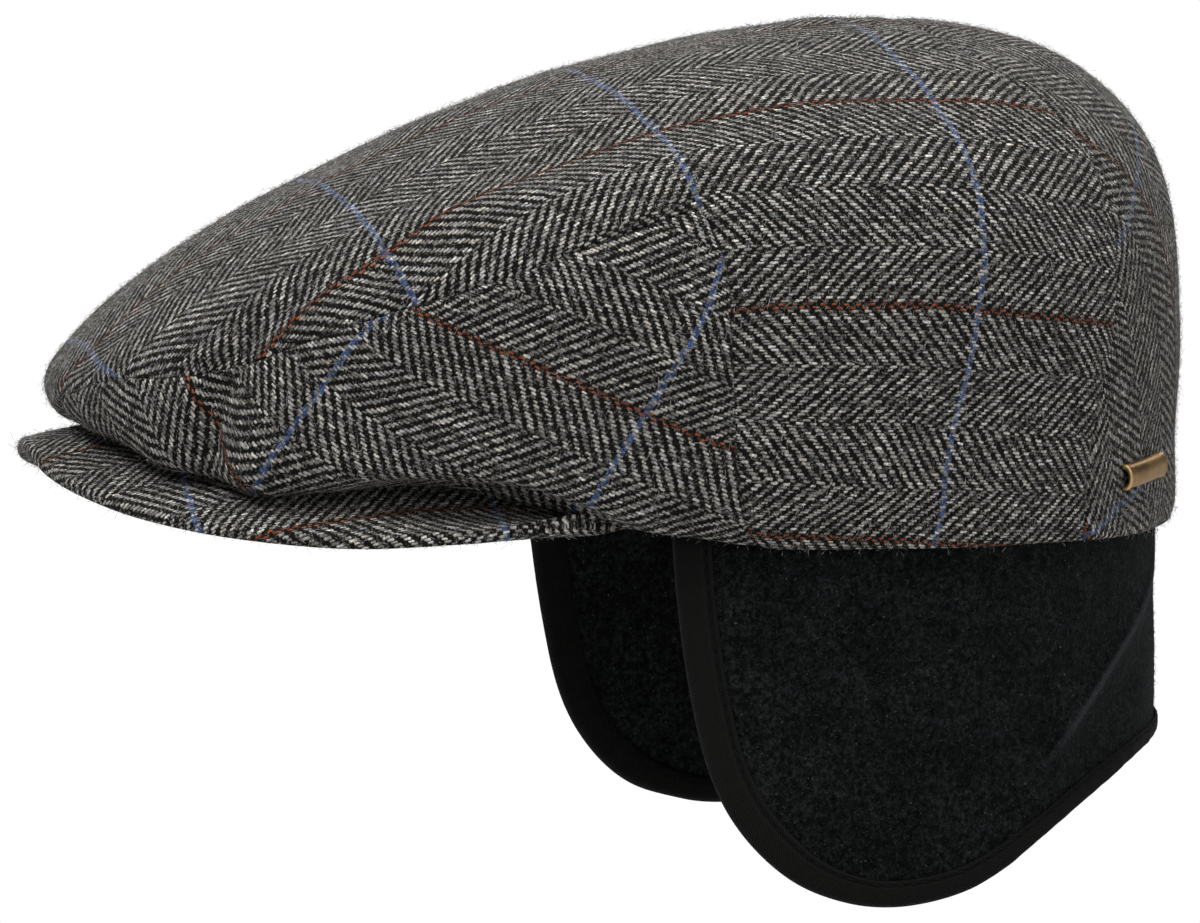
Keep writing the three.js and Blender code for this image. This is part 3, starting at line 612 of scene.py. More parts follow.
def tweed_material(name, fuzz=1.0):
    s = Nodes(name)
    uv = s.node("ShaderNodeUVMap", uv_map="weave")
    sep = s.t.nodes.new("ShaderNodeSeparateXYZ")
    s.put(sep.inputs[0], uv)
    U0, V0 = sep.outputs[0], sep.outputs[1]
    flat = s.xyz(U0, V0, 0.0)
    # threads wander a little
    wob = s.t.nodes.new("ShaderNodeSeparateXYZ")
    s.put(wob.inputs[0], s.noise(flat, 0.42, 2.0, 0.6, out=1))
    slow = s.t.nodes.new("ShaderNodeSeparateXYZ")
    s.put(slow.inputs[0], s.noise(flat, 0.055, 1.0, 0.5, out=1))
    tiny = s.t.nodes.new("ShaderNodeSeparateXYZ")
    s.put(tiny.inputs[0], s.noise(flat, 1.9, 2.0, 0.6, out=1))
    U = s.add(s.mad(tiny.outputs[0], 0.30, s.mad(wob.outputs[0], 0.45, U0)), s.mad(slow.outputs[0], 0.9, -0.82))
    V = s.add(s.mad(tiny.outputs[1], 0.34, s.mad(wob.outputs[1], 0.80, V0)), s.mad(slow.outputs[1], 1.2, -1.16))
    i = s.floor(s.div(U, WARP))
    fu = s.sub(s.fract(s.div(U, WARP)), 0.5)
    c = s.floor(s.div(s.add(i, 0.5), 18.0))
    n = s.sub(i, s.mul(c, 18.0))
    par = s.m("FLOORED_MODULO", c, 2.0)
    way = s.mad(par, -2.0, 1.0)
    p = s.add(s.div(V, WEFT), s.add(s.mul(way, n), s.mul(par, 3.0)))
    q = s.div(p, 4.0)
    k = s.floor(s.add(q, 0.25))
    rnd = s.white(s.xyz(i, k, 3.0))
    rnd2 = s.white(s.xyz(i, k, 9.0))
    # distance along the float from its middle, in mm
    w = s.mul(s.sub(s.fract(s.add(q, s.mad(rnd, 0.07, 0.215))), 0.5), 4 * WEFT)
    wide = s.mad(rnd2, 0.11, 0.248)
    dx = s.m("MAXIMUM", s.sub(s.abs(w), s.mad(rnd2, 0.30, 0.30)), 0.0)
    dy = s.add(s.mul(fu, WARP), s.mul(w, s.mul(way, 0.10)))
    dist = s.div(s.m("SQRT", s.add(s.mul(dx, dx), s.mul(dy, dy))), wide)
    # single fibres break the outline of each float
    fray = s.noise(s.xyz(s.mul(U0, 3.2), s.mul(V0, 1.7), 0.0), 1.5, 3.0, 0.70)
    dist = s.add(dist, s.mad(fray, 2.1, -1.02))
    over = s.step(dist, 1.15, 0.50)
    dome = s.m("SQRT", s.m("MAXIMUM", s.sub(1.0, s.mul(dist, dist)), 0.0))
    # the weft between
    j = s.floor(s.div(V, WEFT))
    fv = s.sub(s.fract(s.div(V, WEFT)), 0.5)
    weft_dome = s.m("SQRT", s.m("MAXIMUM", s.sub(0.25, s.mul(fv, fv)), 0.0))
    # coloured threads
    i5, j5 = s.add(i, 0.5), s.add(j, 0.5)
    rust = s.less(s.abs(s.sub(i5, s.mul(s.m("ROUND", s.div(i5, 72.0)), 72.0))), 1.0)
    blue = s.less(s.abs(s.sub(j5, s.mul(s.m("ROUND", s.div(j5, 90.0)), 90.0))), 1.0)
    # colours: each thread and each float has its own lightness
    thread = s.white(s.xyz(i, 5.0, 1.0))
    streak = s.noise(s.xyz(s.mul(U0, 7.5), s.mul(V0, 1.7), 2.0), 1.0, 2.0, 0.7)
    patch = s.noise(flat, 0.09, 2.0, 0.5)
    blob = s.step(s.noise(s.xyz(s.mul(U0, 1.5), V0, 6.0), 1.25, 2.0, 0.6), 0.30, 0.70)
    tone = s.mul(s.mul(s.mad(thread, 0.40, 0.78), s.mad(rnd, 1.15, 0.32)), s.mul(s.mad(streak, 2.4, -0.20), s.mad(patch, 0.8, 0.60)))
    tone = s.mul(tone, s.mad(blob, 1.15, 0.42))
    warm = s.mix(s.white(s.xyz(i, k, 17.0)), (0.378, 0.347, 0.306), (0.330, 0.327, 0.319))
    grey = s.scale(warm, tone)
    rusty = s.scale(s.mix(rnd2, (0.30, 0.078, 0.022), (0.110, 0.036, 0.020)), s.mul(s.mad(streak, 2.4, -0.15), s.mad(blob, 1.0, 0.45)))
    warp_colour = s.mix(rust, grey, rusty)
    weft_shade = s.mad(s.noise(s.xyz(s.mul(U0, 1.7), s.mul(V0, 6.0), 4.0), 1.0, 2.0, 0.6), 0.015, -0.002)
    black = s.scale((1.0, 0.95, 0.90), s.mul(weft_shade, 0.75))
    bluish = s.scale(s.mix(s.step(fray, 0.4, 0.6), (0.022, 0.052, 0.145), (0.085, 0.140, 0.285)), s.mul(s.mad(fray, 2.2, -0.25), s.mad(blob, 1.15, 0.10)))
    weft_colour = s.mix(blue, black, bluish)
    colour = s.mix(over, weft_colour, warp_colour)
    # loose fibres on the surface: thin wandering lines
    fine = s.noise(flat, 1.15, 1.5, 0.5)
    line = s.step(s.abs(s.sub(fine, 0.5)), 0.020, 0.004)
    gate = s.step(s.noise(flat, 0.75, 1.0, 0.5), 0.50, 0.62)
    hair = s.mul(s.mul(line, gate), 0.75 * fuzz)
    colour = s.mix(hair, colour, (0.36, 0.35, 0.34))
    haze = s.mul(s.step(s.noise(flat, 2.6, 3.0, 0.7), 0.45 - 0.12 * (fuzz - 1), 0.75), 0.22 * fuzz)
    colour = s.mix(haze, colour, (0.052, 0.048, 0.041))
    height = s.add(s.mul(dome, over), s.mul(s.mul(weft_dome, 0.75), s.sub(1.0, over)))
    height = s.add(height, s.mul(fray, 0.35))
    bump = s.node("ShaderNodeBump", {"Strength": 1.0, "Distance": 0.00030, "Height": height})
    return s.finish(Base_Color=colour, Roughness=0.95, Specular_IOR_Level=0.08, Normal=bump,
                    Sheen_Weight=0.06, Sheen_Roughness=0.40, Sheen_Tint=(0.80, 0.79, 0.78))


def fibre_material(name, lo, hi):
    s = Nodes(name)
    pos = s.node("ShaderNodeTexCoord", out=3)
    colour = s.mix(s.step(s.noise(pos, 900.0, 1.0, 0.5), 0.35, 0.65), lo, hi)
    bump = s.node("ShaderNodeBump", {"Strength": 0.2, "Distance": 0.00001, "Height": s.noise(pos, 9000.0)})
    return s.finish(Base_Color=colour, Roughness=0.85, Specular_IOR_Level=0.2, Normal=bump)


def fleece_material(name):
    s = Nodes(name)
    pos = s.node("ShaderNodeTexCoord", out=3)
    uv = s.t.nodes.new("ShaderNodeSeparateXYZ")
    s.put(uv.inputs[0], s.node("ShaderNodeUVMap", uv_map="weave"))
    along, up = uv.outputs[0], uv.outputs[1]
    # painted highlight: a lighter line along the ridge of the crease, where the fold catches the light
    t = s.mul(s.sub(s.sub(s.mul(along, 0.794), s.mul(up, 0.608)), 64.05), 1 / 29)
    off = s.sub(s.add(s.mul(along, 0.608), s.mul(up, 0.794)), s.mad(s.mul(t, t), -1.75, 18.85))
    ridge_highlight_mask = s.mul(s.step(s.abs(off), 1.5, 0.15), s.step(s.abs(t), 1.35, 0.55))
    clump = s.noise(pos, 620.0, 3.0, 0.65)
    nap = s.noise(pos, 2600.0, 3.0, 0.7)
    soft = s.noise(pos, 95.0, 2.0, 0.5)
    tuft = s.noise(pos, 1250.0, 2.0, 0.65)
    tone = s.mul(s.mad(s.step(clump, 0.34, 0.66), 0.0072, 0.0016), s.mad(s.step(tuft, 0.30, 0.70), 1.5, 0.30))
    dark = s.scale((0.88, 1.0, 1.03), s.mul(tone, s.mad(s.step(soft, 0.30, 0.72), 0.7, 0.70)))
    colour = s.mix(s.mul(s.step(nap, 0.56, 0.76), 0.8), dark, (0.0150, 0.0172, 0.0176))
    lint = s.step(s.noise(pos, 1500.0, 2.0, 0.6), 0.680, 0.740)
    colour = s.mix(s.mul(lint, 0.6), colour, (0.10, 0.11, 0.11))
    # painted highlight laid along the crease ridge
    colour = s.mix(s.mul(ridge_highlight_mask, s.step(nap, 0.30, 0.62, 0.15, 0.75)), colour, (0.040, 0.046, 0.049))
    height = s.add(s.mul(clump, 1.0), s.mul(nap, 0.55))
    bump = s.node("ShaderNodeBump", {"Strength": 1.0, "Distance": 0.00035, "Height": height})
    return s.finish(Base_Color=colour, Roughness=1.0, Specular_IOR_Level=0.05, Normal=bump,
                    Sheen_Weight=0.045, Sheen_Roughness=0.45, Sheen_Tint=(0.62, 0.68, 0.70))


def tape_material(name):
    s = Nodes(name)
    uv = s.node("ShaderNodeUVMap", uv_map="weave")
    sep = s.t.nodes.new("ShaderNodeSeparateXYZ")
    s.put(sep.inputs[0], uv)
    a, b = sep.outputs[0], sep.outputs[1]
    diag = s.mul(s.add(a, s.mul(b, 0.9)), 2 * PI / 0.68)
    rib = s.m("SINE", diag)
    cross = s.m("SINE", s.mul(s.sub(a, s.mul(b, 0.55)), 2 * PI / 0.31))
    vary = s.noise(s.xyz(a, b, 0.0), 1.3, 3.0, 0.6)
    tone = s.add(s.mad(rib, 0.0044, 0.0048), s.mul(vary, 0.0030))
    # painted shade darkens the stitched groove, and a painted highlight lightens the cloth beside it
    groove_shade_mask = s.step(s.abs(s.sub(b, 1.35)), 0.42, 0.16)
    beside_groove_highlight_mask = s.step(s.abs(s.sub(s.abs(s.sub(b, 1.35)), 0.95)), 0.42, 0.10)
    tone = s.mul(tone, s.mul(s.mad(groove_shade_mask, -0.72, 1.0), s.mad(beside_groove_highlight_mask, 0.45, 1.0)))
    colour = s.scale((1.0, 0.98, 0.90), tone)
    height = s.add(s.mad(rib, 0.5, 0.5), s.add(s.mul(cross, 0.22), s.mul(vary, 0.25)))
    bump = s.node("ShaderNodeBump", {"Strength": 0.9, "Distance": 0.00028, "Height": height})
    return s.finish(Base_Color=colour, Roughness=s.mad(vary, 0.25, 0.55), Specular_IOR_Level=0.07, Normal=bump,
                    Sheen_Weight=0.008, Sheen_Roughness=0.4, Sheen_Tint=(0.7, 0.72, 0.74))


def thread_material(name, colour):
    s = Nodes(name)
    pos = s.node("ShaderNodeTexCoord", out=3)
    twist = s.m("SINE", s.mul(s.noise(pos, 1200.0, 1.0, 0.5), 24.0))
    c = s.scale(colour, s.mad(twist, 0.25, 0.9))
    bump = s.node("ShaderNodeBump", {"Strength": 0.5, "Distance": 0.00005, "Height": twist})
    return s.finish(Base_Color=c, Roughness=0.7, Specular_IOR_Level=0.12, Normal=bump)


def brass_material(name):
    s = Nodes(name)
    pos = s.node("ShaderNodeTexCoord", out=3)
    cloud = s.noise(pos, 260.0, 4.0, 0.6)
    fine = s.noise(pos, 2600.0, 2.0, 0.6)
    worn = s.node("ShaderNodeNewGeometry", out=7)       # pointiness: worn ridges, dark hollows
    edge = s.step(worn, 0.50, 0.56)
    hollow = s.step(worn, 0.49, 0.43)
    base = s.mix(s.step(cloud, 0.35, 0.68), (0.300, 0.175, 0.070), (0.430, 0.275, 0.125))
    base = s.mix(s.mul(s.step(fine, 0.56, 0.72), 0.45), base, (0.085, 0.050, 0.022))
    base = s.mix(s.mul(hollow, 0.8), base, (0.040, 0.024, 0.012))
    base = s.mix(s.mul(edge, 0.7), base, (0.640, 0.430, 0.200))
    rough = s.add(s.mad(cloud, 0.30, 0.24), s.mul(fine, 0.08))
    bump = s.node("ShaderNodeBump", {"Strength": 0.35, "Distance": 0.00006, "Height": s.add(cloud, s.mul(fine, 0.5))})
    return s.finish(Base_Color=base, Metallic=1.0, Roughness=rough, Normal=bump)


TWEED = tweed_material("herringbone_wool")
TWEED_REAR = tweed_material("herringbone_wool_rear", 1.9)     # the back panel is more felted
FIBRE = fibre_material("wool_fibres", (0.06, 0.057, 0.053), (0.52, 0.50, 0.475))
LINT = fibre_material("fleece_fibres", (0.003, 0.004, 0.004), (0.050, 0.056, 0.057))
FLEECY = fleece_material("black_fleece")
TAPE = tape_material("black_tape")
STITCH = thread_material("black_thread", (0.0032, 0.0034, 0.0036))
BRASS = brass_material("aged_brass")

# ---------------------------------------------------------------- panels
fuzz_from = []                 # (outer points, normals, cells) for the loose fibres


def panel(name, nodes, q, cells, seams, uv):
    face, back, N = dress(q, cells, seams)
    V, faces, keep = sheet_solid(face, back, cells)
    flat = uv.reshape(-1, 2)[keep]
    ob = add_mesh(name, V, faces, np.concatenate([flat, flat]), TWEED_REAR if name == "back_panel_cloth" else TWEED)
    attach(ob, "root")
    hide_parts(*nodes)
    fuzz_from.append((name, face, N, cells))
    return ob


def uniform(n):
    return np.linspace(0, 1, n + 1)


# --- crown top: a rear block from side to side and a front block in the middle
def rear_front_edge(x):         # x over the whole width in cells of the first table
    a = side_at(np.clip(x / N_SIDE, 0, 1))
    t = np.clip((x - N_SIDE) / N_OVER, 0, 1)[:, None]
    b = CORNER + (mirror(CORNER) - CORNER) * t
    c = mirror(side_at(np.clip((2 * N_SIDE + N_OVER - x) / N_SIDE, 0, 1)))
    return np.where((x < N_SIDE)[:, None], a, np.where((x <= N_SIDE + N_OVER)[:, None], b, c))


def rear_back_edge(x):
    a = back_at(np.clip(x / N_SIDE, 0, 1))
    b = cross_at(np.clip((x - N_SIDE) / N_OVER, 0, 1))
    c = mirror(back_at(np.clip((2 * N_SIDE + N_OVER - x) / N_SIDE, 0, 1)))
    return np.where((x < N_SIDE)[:, None], a, np.where((x <= N_SIDE + N_OVER)[:, None], b, c))


WIDE = 2 * N_SIDE + N_OVER


def rear_block(x, y):
    left = hem_at(SIDE_SEAM[0][0], BACK_SEAM[0][0])
    return coons(lambda u: rear_front_edge(u * WIDE), lambda u: rear_back_edge(u * WIDE),
                 left, lambda v: mirror(left(v)), x / WIDE, y / N_REAR)


def front_rows(y):              # y from 0 at the shoulder to N_FRONT + N_SIDE at the peak
    a = top_at(np.clip(y / N_FRONT, 0, 1))
    b = tongue_at(np.clip((y - N_FRONT) / N_SIDE, 0, 1))
    return np.where((y <= N_FRONT)[:, None], a, b)


def front_block(x, y):
    p = front_rows(y)[:, None]
    t = ((x - N_SIDE) / N_OVER)[None, :, None]
    return p + (mirror(p) - p) * t


def top_grid(xs, xm, y_rear, y_front):
    """Disc points of the crown top; xs, xm: columns of a side and of the middle."""
    x = np.concatenate([xs, xm[1:], (WIDE - xs)[::-1][1:]])
    rear = rear_block(x, y_rear)
    front = front_block(xm, y_front[1:])[::-1]
    R0 = len(front)
    q = np.full((R0 + len(rear), len(x), 2), np.nan)
    lo, hi = len(xs) - 1, len(xs) - 1 + len(xm)
    q[:R0, lo:hi] = front
    q[R0:] = rear
    cells = np.ones((q.shape[0] - 1, q.shape[1] - 1), bool)
    cells[:R0, :lo] = False
    cells[:R0, hi - 1:] = False
    return q, cells, R0, lo, hi


TOP_THREADS = [
    (0, 14.0, [(165.5, .598), (166.5, .562), (167, .545), (166.5, .503), (167.5, .443), (171.5, .390)]),
    (0, 64.0, [(134.5, .385 + .012), (126, .487), (117, .613), (104.5, .677), (93, .655), (47.5, .590)]),
    (0, 114.0, [(96.5, .378), (86.5, .383), (49.5, .355)]),
    (0, 164.0, [(97.5, .092), (57.5, .007)]),
    (1, 0.0, [(24, .922), (45, .848), (63, .740), (67.5, .633), (67, .562), (67, .495), (68, .438), (69.5, .367),
              (70.5, .330), (73.5, .283), (75.5, .242), (77, .070)]),
    (1, 62.0, [(169.5, .900), (108, .715), (105, .670), (101.5, .578), (99.5, .503)]),
    (1, 124.0, [(173.5, .743), (141, .677), (127, .505), (123.5, .427)]),
    (1, 186.0, [(181, .490), (155, .390)]),
]
FRONT_THREADS = [
    (0, 0.0, [(122, .403), (115.5, .352), (106, .305), (97.2, .273)]),
    (0, 50.0, [(144, .352), (142, .285), (143, .198)]),
    (1, 0.0, [(98, .438), (99, .395), (99.5, .372), (100, .355), (104.5, .290), (108.5, .235)]),
    (1, 62.0, [(123.5, .427), (127, .395), (130, .338), (134, .285), (142.5, .195)]),
]
BACK_THREADS = [
    (0, 0.0, [(43, .520), (39.5, .512), (38.5, .505), (36.5, .473), (34.5, .455), (33, .430)]),
    (0, 50.0, [(52.6, .105), (52.3, .028)]),
    (1, 0.0, [(24.5, .547), (29, .515), (33.5, .495), (38.5, .470), (43, .435), (45.4, .420)]),
    (1, 62.0, [(45, .147), (47, .120), (48.5, .083), (50.5, .043)]),
]


def make_top():
    # threads, laid out on a coarse grid
    xs, xm = np.linspace(0, N_SIDE, 11), np.linspace(N_SIDE, N_SIDE + N_OVER, 29)
    yr, yf = np.linspace(0, N_REAR, 17), np.linspace(0, N_FRONT + N_SIDE, 29)
    q, cells, R0, lo, hi = top_grid(xs, xm, yr, yf)
    ok = ~np.isnan(q[..., 0])
    idx = -np.ones(ok.shape, int)
    idx[ok] = np.arange(ok.sum())
    Q = q[ok]
    P = crown_disc(Q)
    tris = grid_tris(idx, cells)
    full = np.where(ok[..., None], crown_disc(np.nan_to_num(q, nan=0.3)), 0)
    mid = (lo + hi - 1) // 2
    step = np.linalg.norm(np.diff(full, axis=1), axis=-1)
    arc = np.zeros(ok.shape)
    arc[:, mid + 1:] = -np.cumsum(np.where(ok[:, mid + 1:], step[:, mid:], 0), 1)
    arc[:, :mid] = np.cumsum(np.where(ok[:, :mid], step[:, :mid], 0)[:, ::-1], 1)[:, ::-1]
    start = np.stack([arc[ok], -(P[:, 1] - 30.0) + 0.3 * (110 - P[:, 2])], 1)
    con = threads(Q, tris, TOP_THREADS)
    con += [([idx[j, mid]] * 1, [1.0], 0, 0.0, 2.0) for j in range(ok.shape[0])]
    flat = flatten(P, tris, start, con)
    coarse = np.zeros(ok.shape + (2,))
    coarse[ok] = flat
    # fine grid and the threads read at its points
    fs, fm = spread(44) * N_SIDE, N_SIDE + spread(112) * N_OVER
    gr, gf = spread(64) * N_REAR, np.concatenate([[0], spread(88, 0.5, 0.75)[1:]]) * (N_FRONT + N_SIDE)
    Qf, fcells, F0, flo, fhi = top_grid(fs, fm, gr, gf)

    def read(block, rows, cols):
        b = catmull(block, rows)
        return np.moveaxis(catmull(np.moveaxis(b, 1, 0), cols), 0, 1)
    uv = np.zeros(Qf.shape)
    nr = lambda y: y / N_REAR * 16
    parts = []
    for a, b, c in ((0, lo, fs / N_SIDE * 10), (lo, hi - 1, (fm - N_SIDE) / N_OVER * 28), (hi - 1, coarse.shape[1] - 1, (N_SIDE - fs)[::-1] / N_SIDE * 10)):
        parts.append(read(coarse[R0:, a:b + 1], nr(gr), c))
    uv[F0:] = np.concatenate([parts[0], parts[1][:, 1:], parts[2][:, 1:]], 1)
    front = read(coarse[:R0 + 1, lo:hi], 28 - gf[::-1] / (N_FRONT + N_SIDE) * 28, (fm - N_SIDE) / N_OVER * 28)
    uv[:F0, flo:fhi] = front[:-1]
    uv[..., 0] -= 14.0
    Qf = np.where(np.isnan(Qf), 0.3, Qf)
    return panel("crown_top_cloth", ["crown_top"], Qf, fcells, ["side", "top", "tongue", "back", "cross"], uv)


def four_sided(name, node, at, nu, nv, fu, fv, table, axes, seams, mirrored=False, cache={}):
    """Panel of four edges; axes: 3-D directions of u and v for a first guess."""
    u, v = uniform(2 * nu), uniform(2 * nv)
    if node.replace("right", "left") not in cache:
        q = at(u, v)
        cells = np.ones((len(v) - 1, len(u) - 1), bool)
        idx = np.arange(len(u) * len(v)).reshape(len(v), len(u))
        Q, P = q.reshape(-1, 2), crown_disc(q).reshape(-1, 3)
        tris = grid_tris(idx, cells)
        con = threads(Q, tris, table)
        start = np.stack([P @ axes[0], P @ axes[1]], 1)
        for k in (0, 1):            # set the guess level with its first thread
            rows = [r for r in con if r[2] == k and r[3] == 0.0]
            start[:, k] -= np.mean([np.dot(r[1], start[r[0], k]) for r in rows])
        cache[node.replace("right", "left")] = flatten(P, tris, start, con).reshape(len(v), len(u), 2)
    coarse = cache[node.replace("right", "left")]
    U, W = spread(fu), spread(fv)
    Qf = at(U, W)
    uv = catmull(coarse, W * 2 * nv)
    uv = np.moveaxis(catmull(np.moveaxis(uv, 1, 0), U * 2 * nu), 0, 1)
    if mirrored:
        Qf = Qf * [-1, 1]
        uv = uv * [-1, 1] + [0, 248.0]
    cells = np.ones((fv, fu), bool)
    return panel(name, [node], Qf, cells, seams, uv)


crown_piece = make_top()
front_edge = relaxed(hem_at(SIDE_SEAM[0][0], TONGUE_SEAM[3][0]), top_at, side_at,
                     lambda v: tongue_at(1 - np.asarray(v)), N_FRONT, N_SIDE, 10)
pt = lambda g, l: crown_at(np.radians(g), l)
v_axis = unit(pt(122, .403) - pt(97.2, .273))
n_axis = unit(np.cross(pt(143, .3) - pt(100, .1), pt(120, .4) - pt(120, .1)))
u_axis = np.cross(v_axis, n_axis)
if (pt(142, .285) - pt(115.5, .352)) @ u_axis < 0:
    u_axis = -u_axis
for side_name, flip in (("left", False), ("right", True)):
    four_sided("front_panel_%s_cloth" % side_name, "front_panel_" + side_name, front_edge, N_FRONT, N_SIDE, 88, 50,
               FRONT_THREADS, (u_axis, v_axis), ["side", "top", "tongue"], flip)
back_edge = relaxed(hem_at(BACK_SEAM[0][0], -BACK_SEAM[0][0]), cross_at, back_at,
                    lambda v: mirror(back_at(v)), N_OVER, N_SIDE, 40)
v_axis = unit(pt(45, .147) - pt(38.5, .470))
u_axis = unit(pt(45, .30) - pt(20, .30))
u_axis = unit(u_axis - v_axis * (u_axis @ v_axis))
four_sided("back_panel_cloth", "back_panel", back_edge, N_OVER, N_SIDE, 124, 62, BACK_THREADS, (u_axis, v_axis), ["back", "cross"])


# ---------------------------------------------------------------- peak
# seam allowance of the peak, turned up inside the hem: in from the joint, rise,
# half thickness, turn in degrees
LIP = [(1.60, 6.0, 0.42, 90), (1.62, 3.6, 0.45, 90), (1.60, 2.2, 0.48, 88), (1.52, 1.2, 0.5, 74), (1.32, 0.5, 0.52, 48),
       (0.92, 0.1, 0.6, 16), (0.50, 0.0, 1.0, 0)]


def make_peak():
    cols = 300
    s = np.linspace(-1, 1, cols + 1)
    g = np.radians(180 - s * (180 - PEAK_END) + np.sign(s) * 1.8 * np.abs(s) ** 8)
    joint = level_point(np.zeros(len(s), int), g)
    outward = unit(np.stack([joint[:, 0], joint[:, 1] - 7.5, 0 * s], 1))
    inside = smooth(0.90, 1.0, np.abs(s))[:, None]          # the ends go up inside the crown
    joint = joint - outward * (PEAK_TUCK + 1.4 * inside)
    rim = curve(PEAK_RIM, even=(1, 2))(np.abs(s)) * np.stack([np.where(s < 0, -1, 1), 0 * s + 1, 0 * s + 1], 1)
    n = 46
    v = 1 - (1 - np.linspace(0, 1, n + 1)) ** 1.9
    length = np.linalg.norm(rim - joint, axis=1)
    e = (1 - v)[:, None] * length[None]                     # distance in from the rim
    die = smooth(0.90, 1.0, np.abs(s))                      # the ends go in under the hem
    R = 1.42 * (1 - 0.45 * die)
    k = np.clip(R[None] - e, 0, None)
    h = np.sqrt(np.maximum(R[None] ** 2 - k ** 2, 0)) + smooth(1.0, 12.0, e) * np.maximum(0, PEAK_THICK / 2 - 1.42) * (1 - die)
    joint[:, 2] += 1.6 * inside[:, 0] - 0.35 - h[0]
    rim -= outward * 4.6 * inside
    rim[:, 2] += 3.6 * smooth(0.86, 1.0, np.abs(s)) - PEAK_THICK / 2
    mid = joint[None] + (rim - joint)[None] * v[:, None, None]
    mid[..., 2] += PEAK_BOW * 4 * (v * (1 - v))[:, None] * (1 - np.abs(s) ** 3)[None]
    # low ripples, and a faint ridge of the turned edge under the cloth
    h += 0.10 * np.exp(-((e - 6.5) / 1.4) ** 2) * smooth(3, 9, length)[None]
    wave = 0.16 * np.sin(mid[..., 0] * 0.11 + 0.6) * np.sin(mid[..., 1] * 0.14 + 0.3) * smooth(1.0, 8.0, e)
    top, low = mid.copy(), mid.copy()
    top[..., 2] += h + wave
    low[..., 2] -= h - wave * 0.4
    face = top[0, :, 2].copy()
    lip_top, lip_low = [], []
    for inwards, rise, half, turn in LIP:
        c, z = math.cos(math.radians(turn)), math.sin(math.radians(turn))
        m = mid[0] - outward * inwards
        m[:, 2] = face - half * c + rise
        off = outward * z * half + np.array([0, 0, c * half])
        lip_top.append(m + off)
        lip_low.append(m - off)
    L = len(LIP)
    top, low = np.concatenate([lip_top, top]), np.concatenate([lip_low, low])
    ext = np.array([[a + r for a, r, _, _ in LIP]]).T[..., None] * outward[None] * [1, 1, 0]
    mid = np.concatenate([mid[:1] - ext, mid])
    e, k = np.concatenate([np.repeat(e[:1], L, 0) + 9, e]), np.concatenate([np.zeros((L, cols + 1)), k])
    n += L
    # threads run with the cap's length; past the rim they follow the cloth round
    t = np.gradient(rim[:, :2], axis=0)
    out = unit(np.stack([-t[:, 1], t[:, 0]], 1))
    out = out * np.where((out * (rim[:, :2] - [0, -60])).sum(1) > 0, 1, -1)[:, None]
    bend = np.where(e < R[None], R[None] * np.arcsin(np.clip(k / R[None], 0, 1)) - k, 0)
    uv_top = np.stack([mid[..., 0], -mid[..., 1]], -1) + (bend[..., None] * (out * [1, -1])[None])
    o = out * [1, -1]
    D = np.stack([mid[..., 0], -mid[..., 1]], -1)
    D = D - D[-1:]
    uv_low = D - 2 * (D * o[None]).sum(-1, keepdims=True) * o[None] + o[None] * (0.57 * R[:, None] - bend[..., None])
    uv_top -= [20.0, 125.0]
    loops, uvs = [], []
    for j in range(n + 1):
        loops.append(top[j]); uvs.append(uv_top[j])
    for j in range(n - 1, -1, -1):
        loops.append(low[j]); uvs.append(uv_top[n] + uv_low[j])
    G, T = np.array(loops), np.array(uvs)
    rows, C = G.shape[0], G.shape[1]
    V = G.reshape(-1, 3)
    idx = np.arange(rows * C).reshape(rows, C)
    a, b, c, d = idx[:-1, :-1], idx[:-1, 1:], idx[1:, 1:], idx[1:, :-1]
    faces = [np.stack([a, b, c, d], -1).reshape(-1, 4),
             np.stack([idx[-1, :-1], idx[-1, 1:], idx[0, 1:], idx[0, :-1]], -1)]
    for col, turn in ((0, 1), (-1, -1)):                    # ends, hidden at the hem
        ring = []
        for j in range(n):
            quad = [idx[j, col], idx[j + 1, col], idx[rows - 2 - j, col] if j < n - 1 else idx[n, col], idx[rows - 1 - j, col]]
            ring.append(quad if j < n - 1 else None)
        ring = [r for r in ring if r]
        faces.append(np.array(ring)[:, ::turn])
        last = np.array([[idx[n - 1, col], idx[n, col], idx[n + 1, col]]])
        faces.append(last[:, ::turn])
    if volume(V, faces) < 0:
        faces = [f[:, ::-1] for f in faces]
    ob = add_mesh("peak_cloth", V, faces, T.reshape(-1, 2), TWEED)
    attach(ob, "root"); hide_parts("peak")
    N = unit(np.cross(np.gradient(G, axis=1), np.gradient(G, axis=0)))
    if N[L + 3, cols // 2, 2] < 0:
        N = -N
    shown = np.ones((rows - 1, C - 1), bool)
    shown[:L + 1] = False
    shown[-L - 1:] = False
    shown[:, :3] = False
    shown[:, -3:] = False
    fuzz_from.append(("peak_cloth", G, N, shown))
    return ob


make_peak()

# ---------------------------------------------------------------- band
BAND_IN = CLOTH + GAP + 0.15 + FLEECE / 2
PG = np.radians(np.arange(0, 112.01, 0.25))
_p = level_point(np.zeros(len(PG), int), PG)[:, :2]
_t = (level_point(np.zeros(len(PG), int), PG + 0.0017) - level_point(np.zeros(len(PG), int), PG - 0.0017))[:, :2]
_n = unit(np.stack([_t[:, 1], -_t[:, 0]], 1))
_n *= np.where((_n * (_p - [0, 7.5])).sum(1) < 0, -1, 1)[:, None]
PLAN = _p - _n * BAND_IN
PLAN_S = np.concatenate([[0], np.cumsum(np.linalg.norm(np.diff(PLAN, axis=0), axis=1))])
edge_curve = curve(BAND_EDGE, even=(1,))

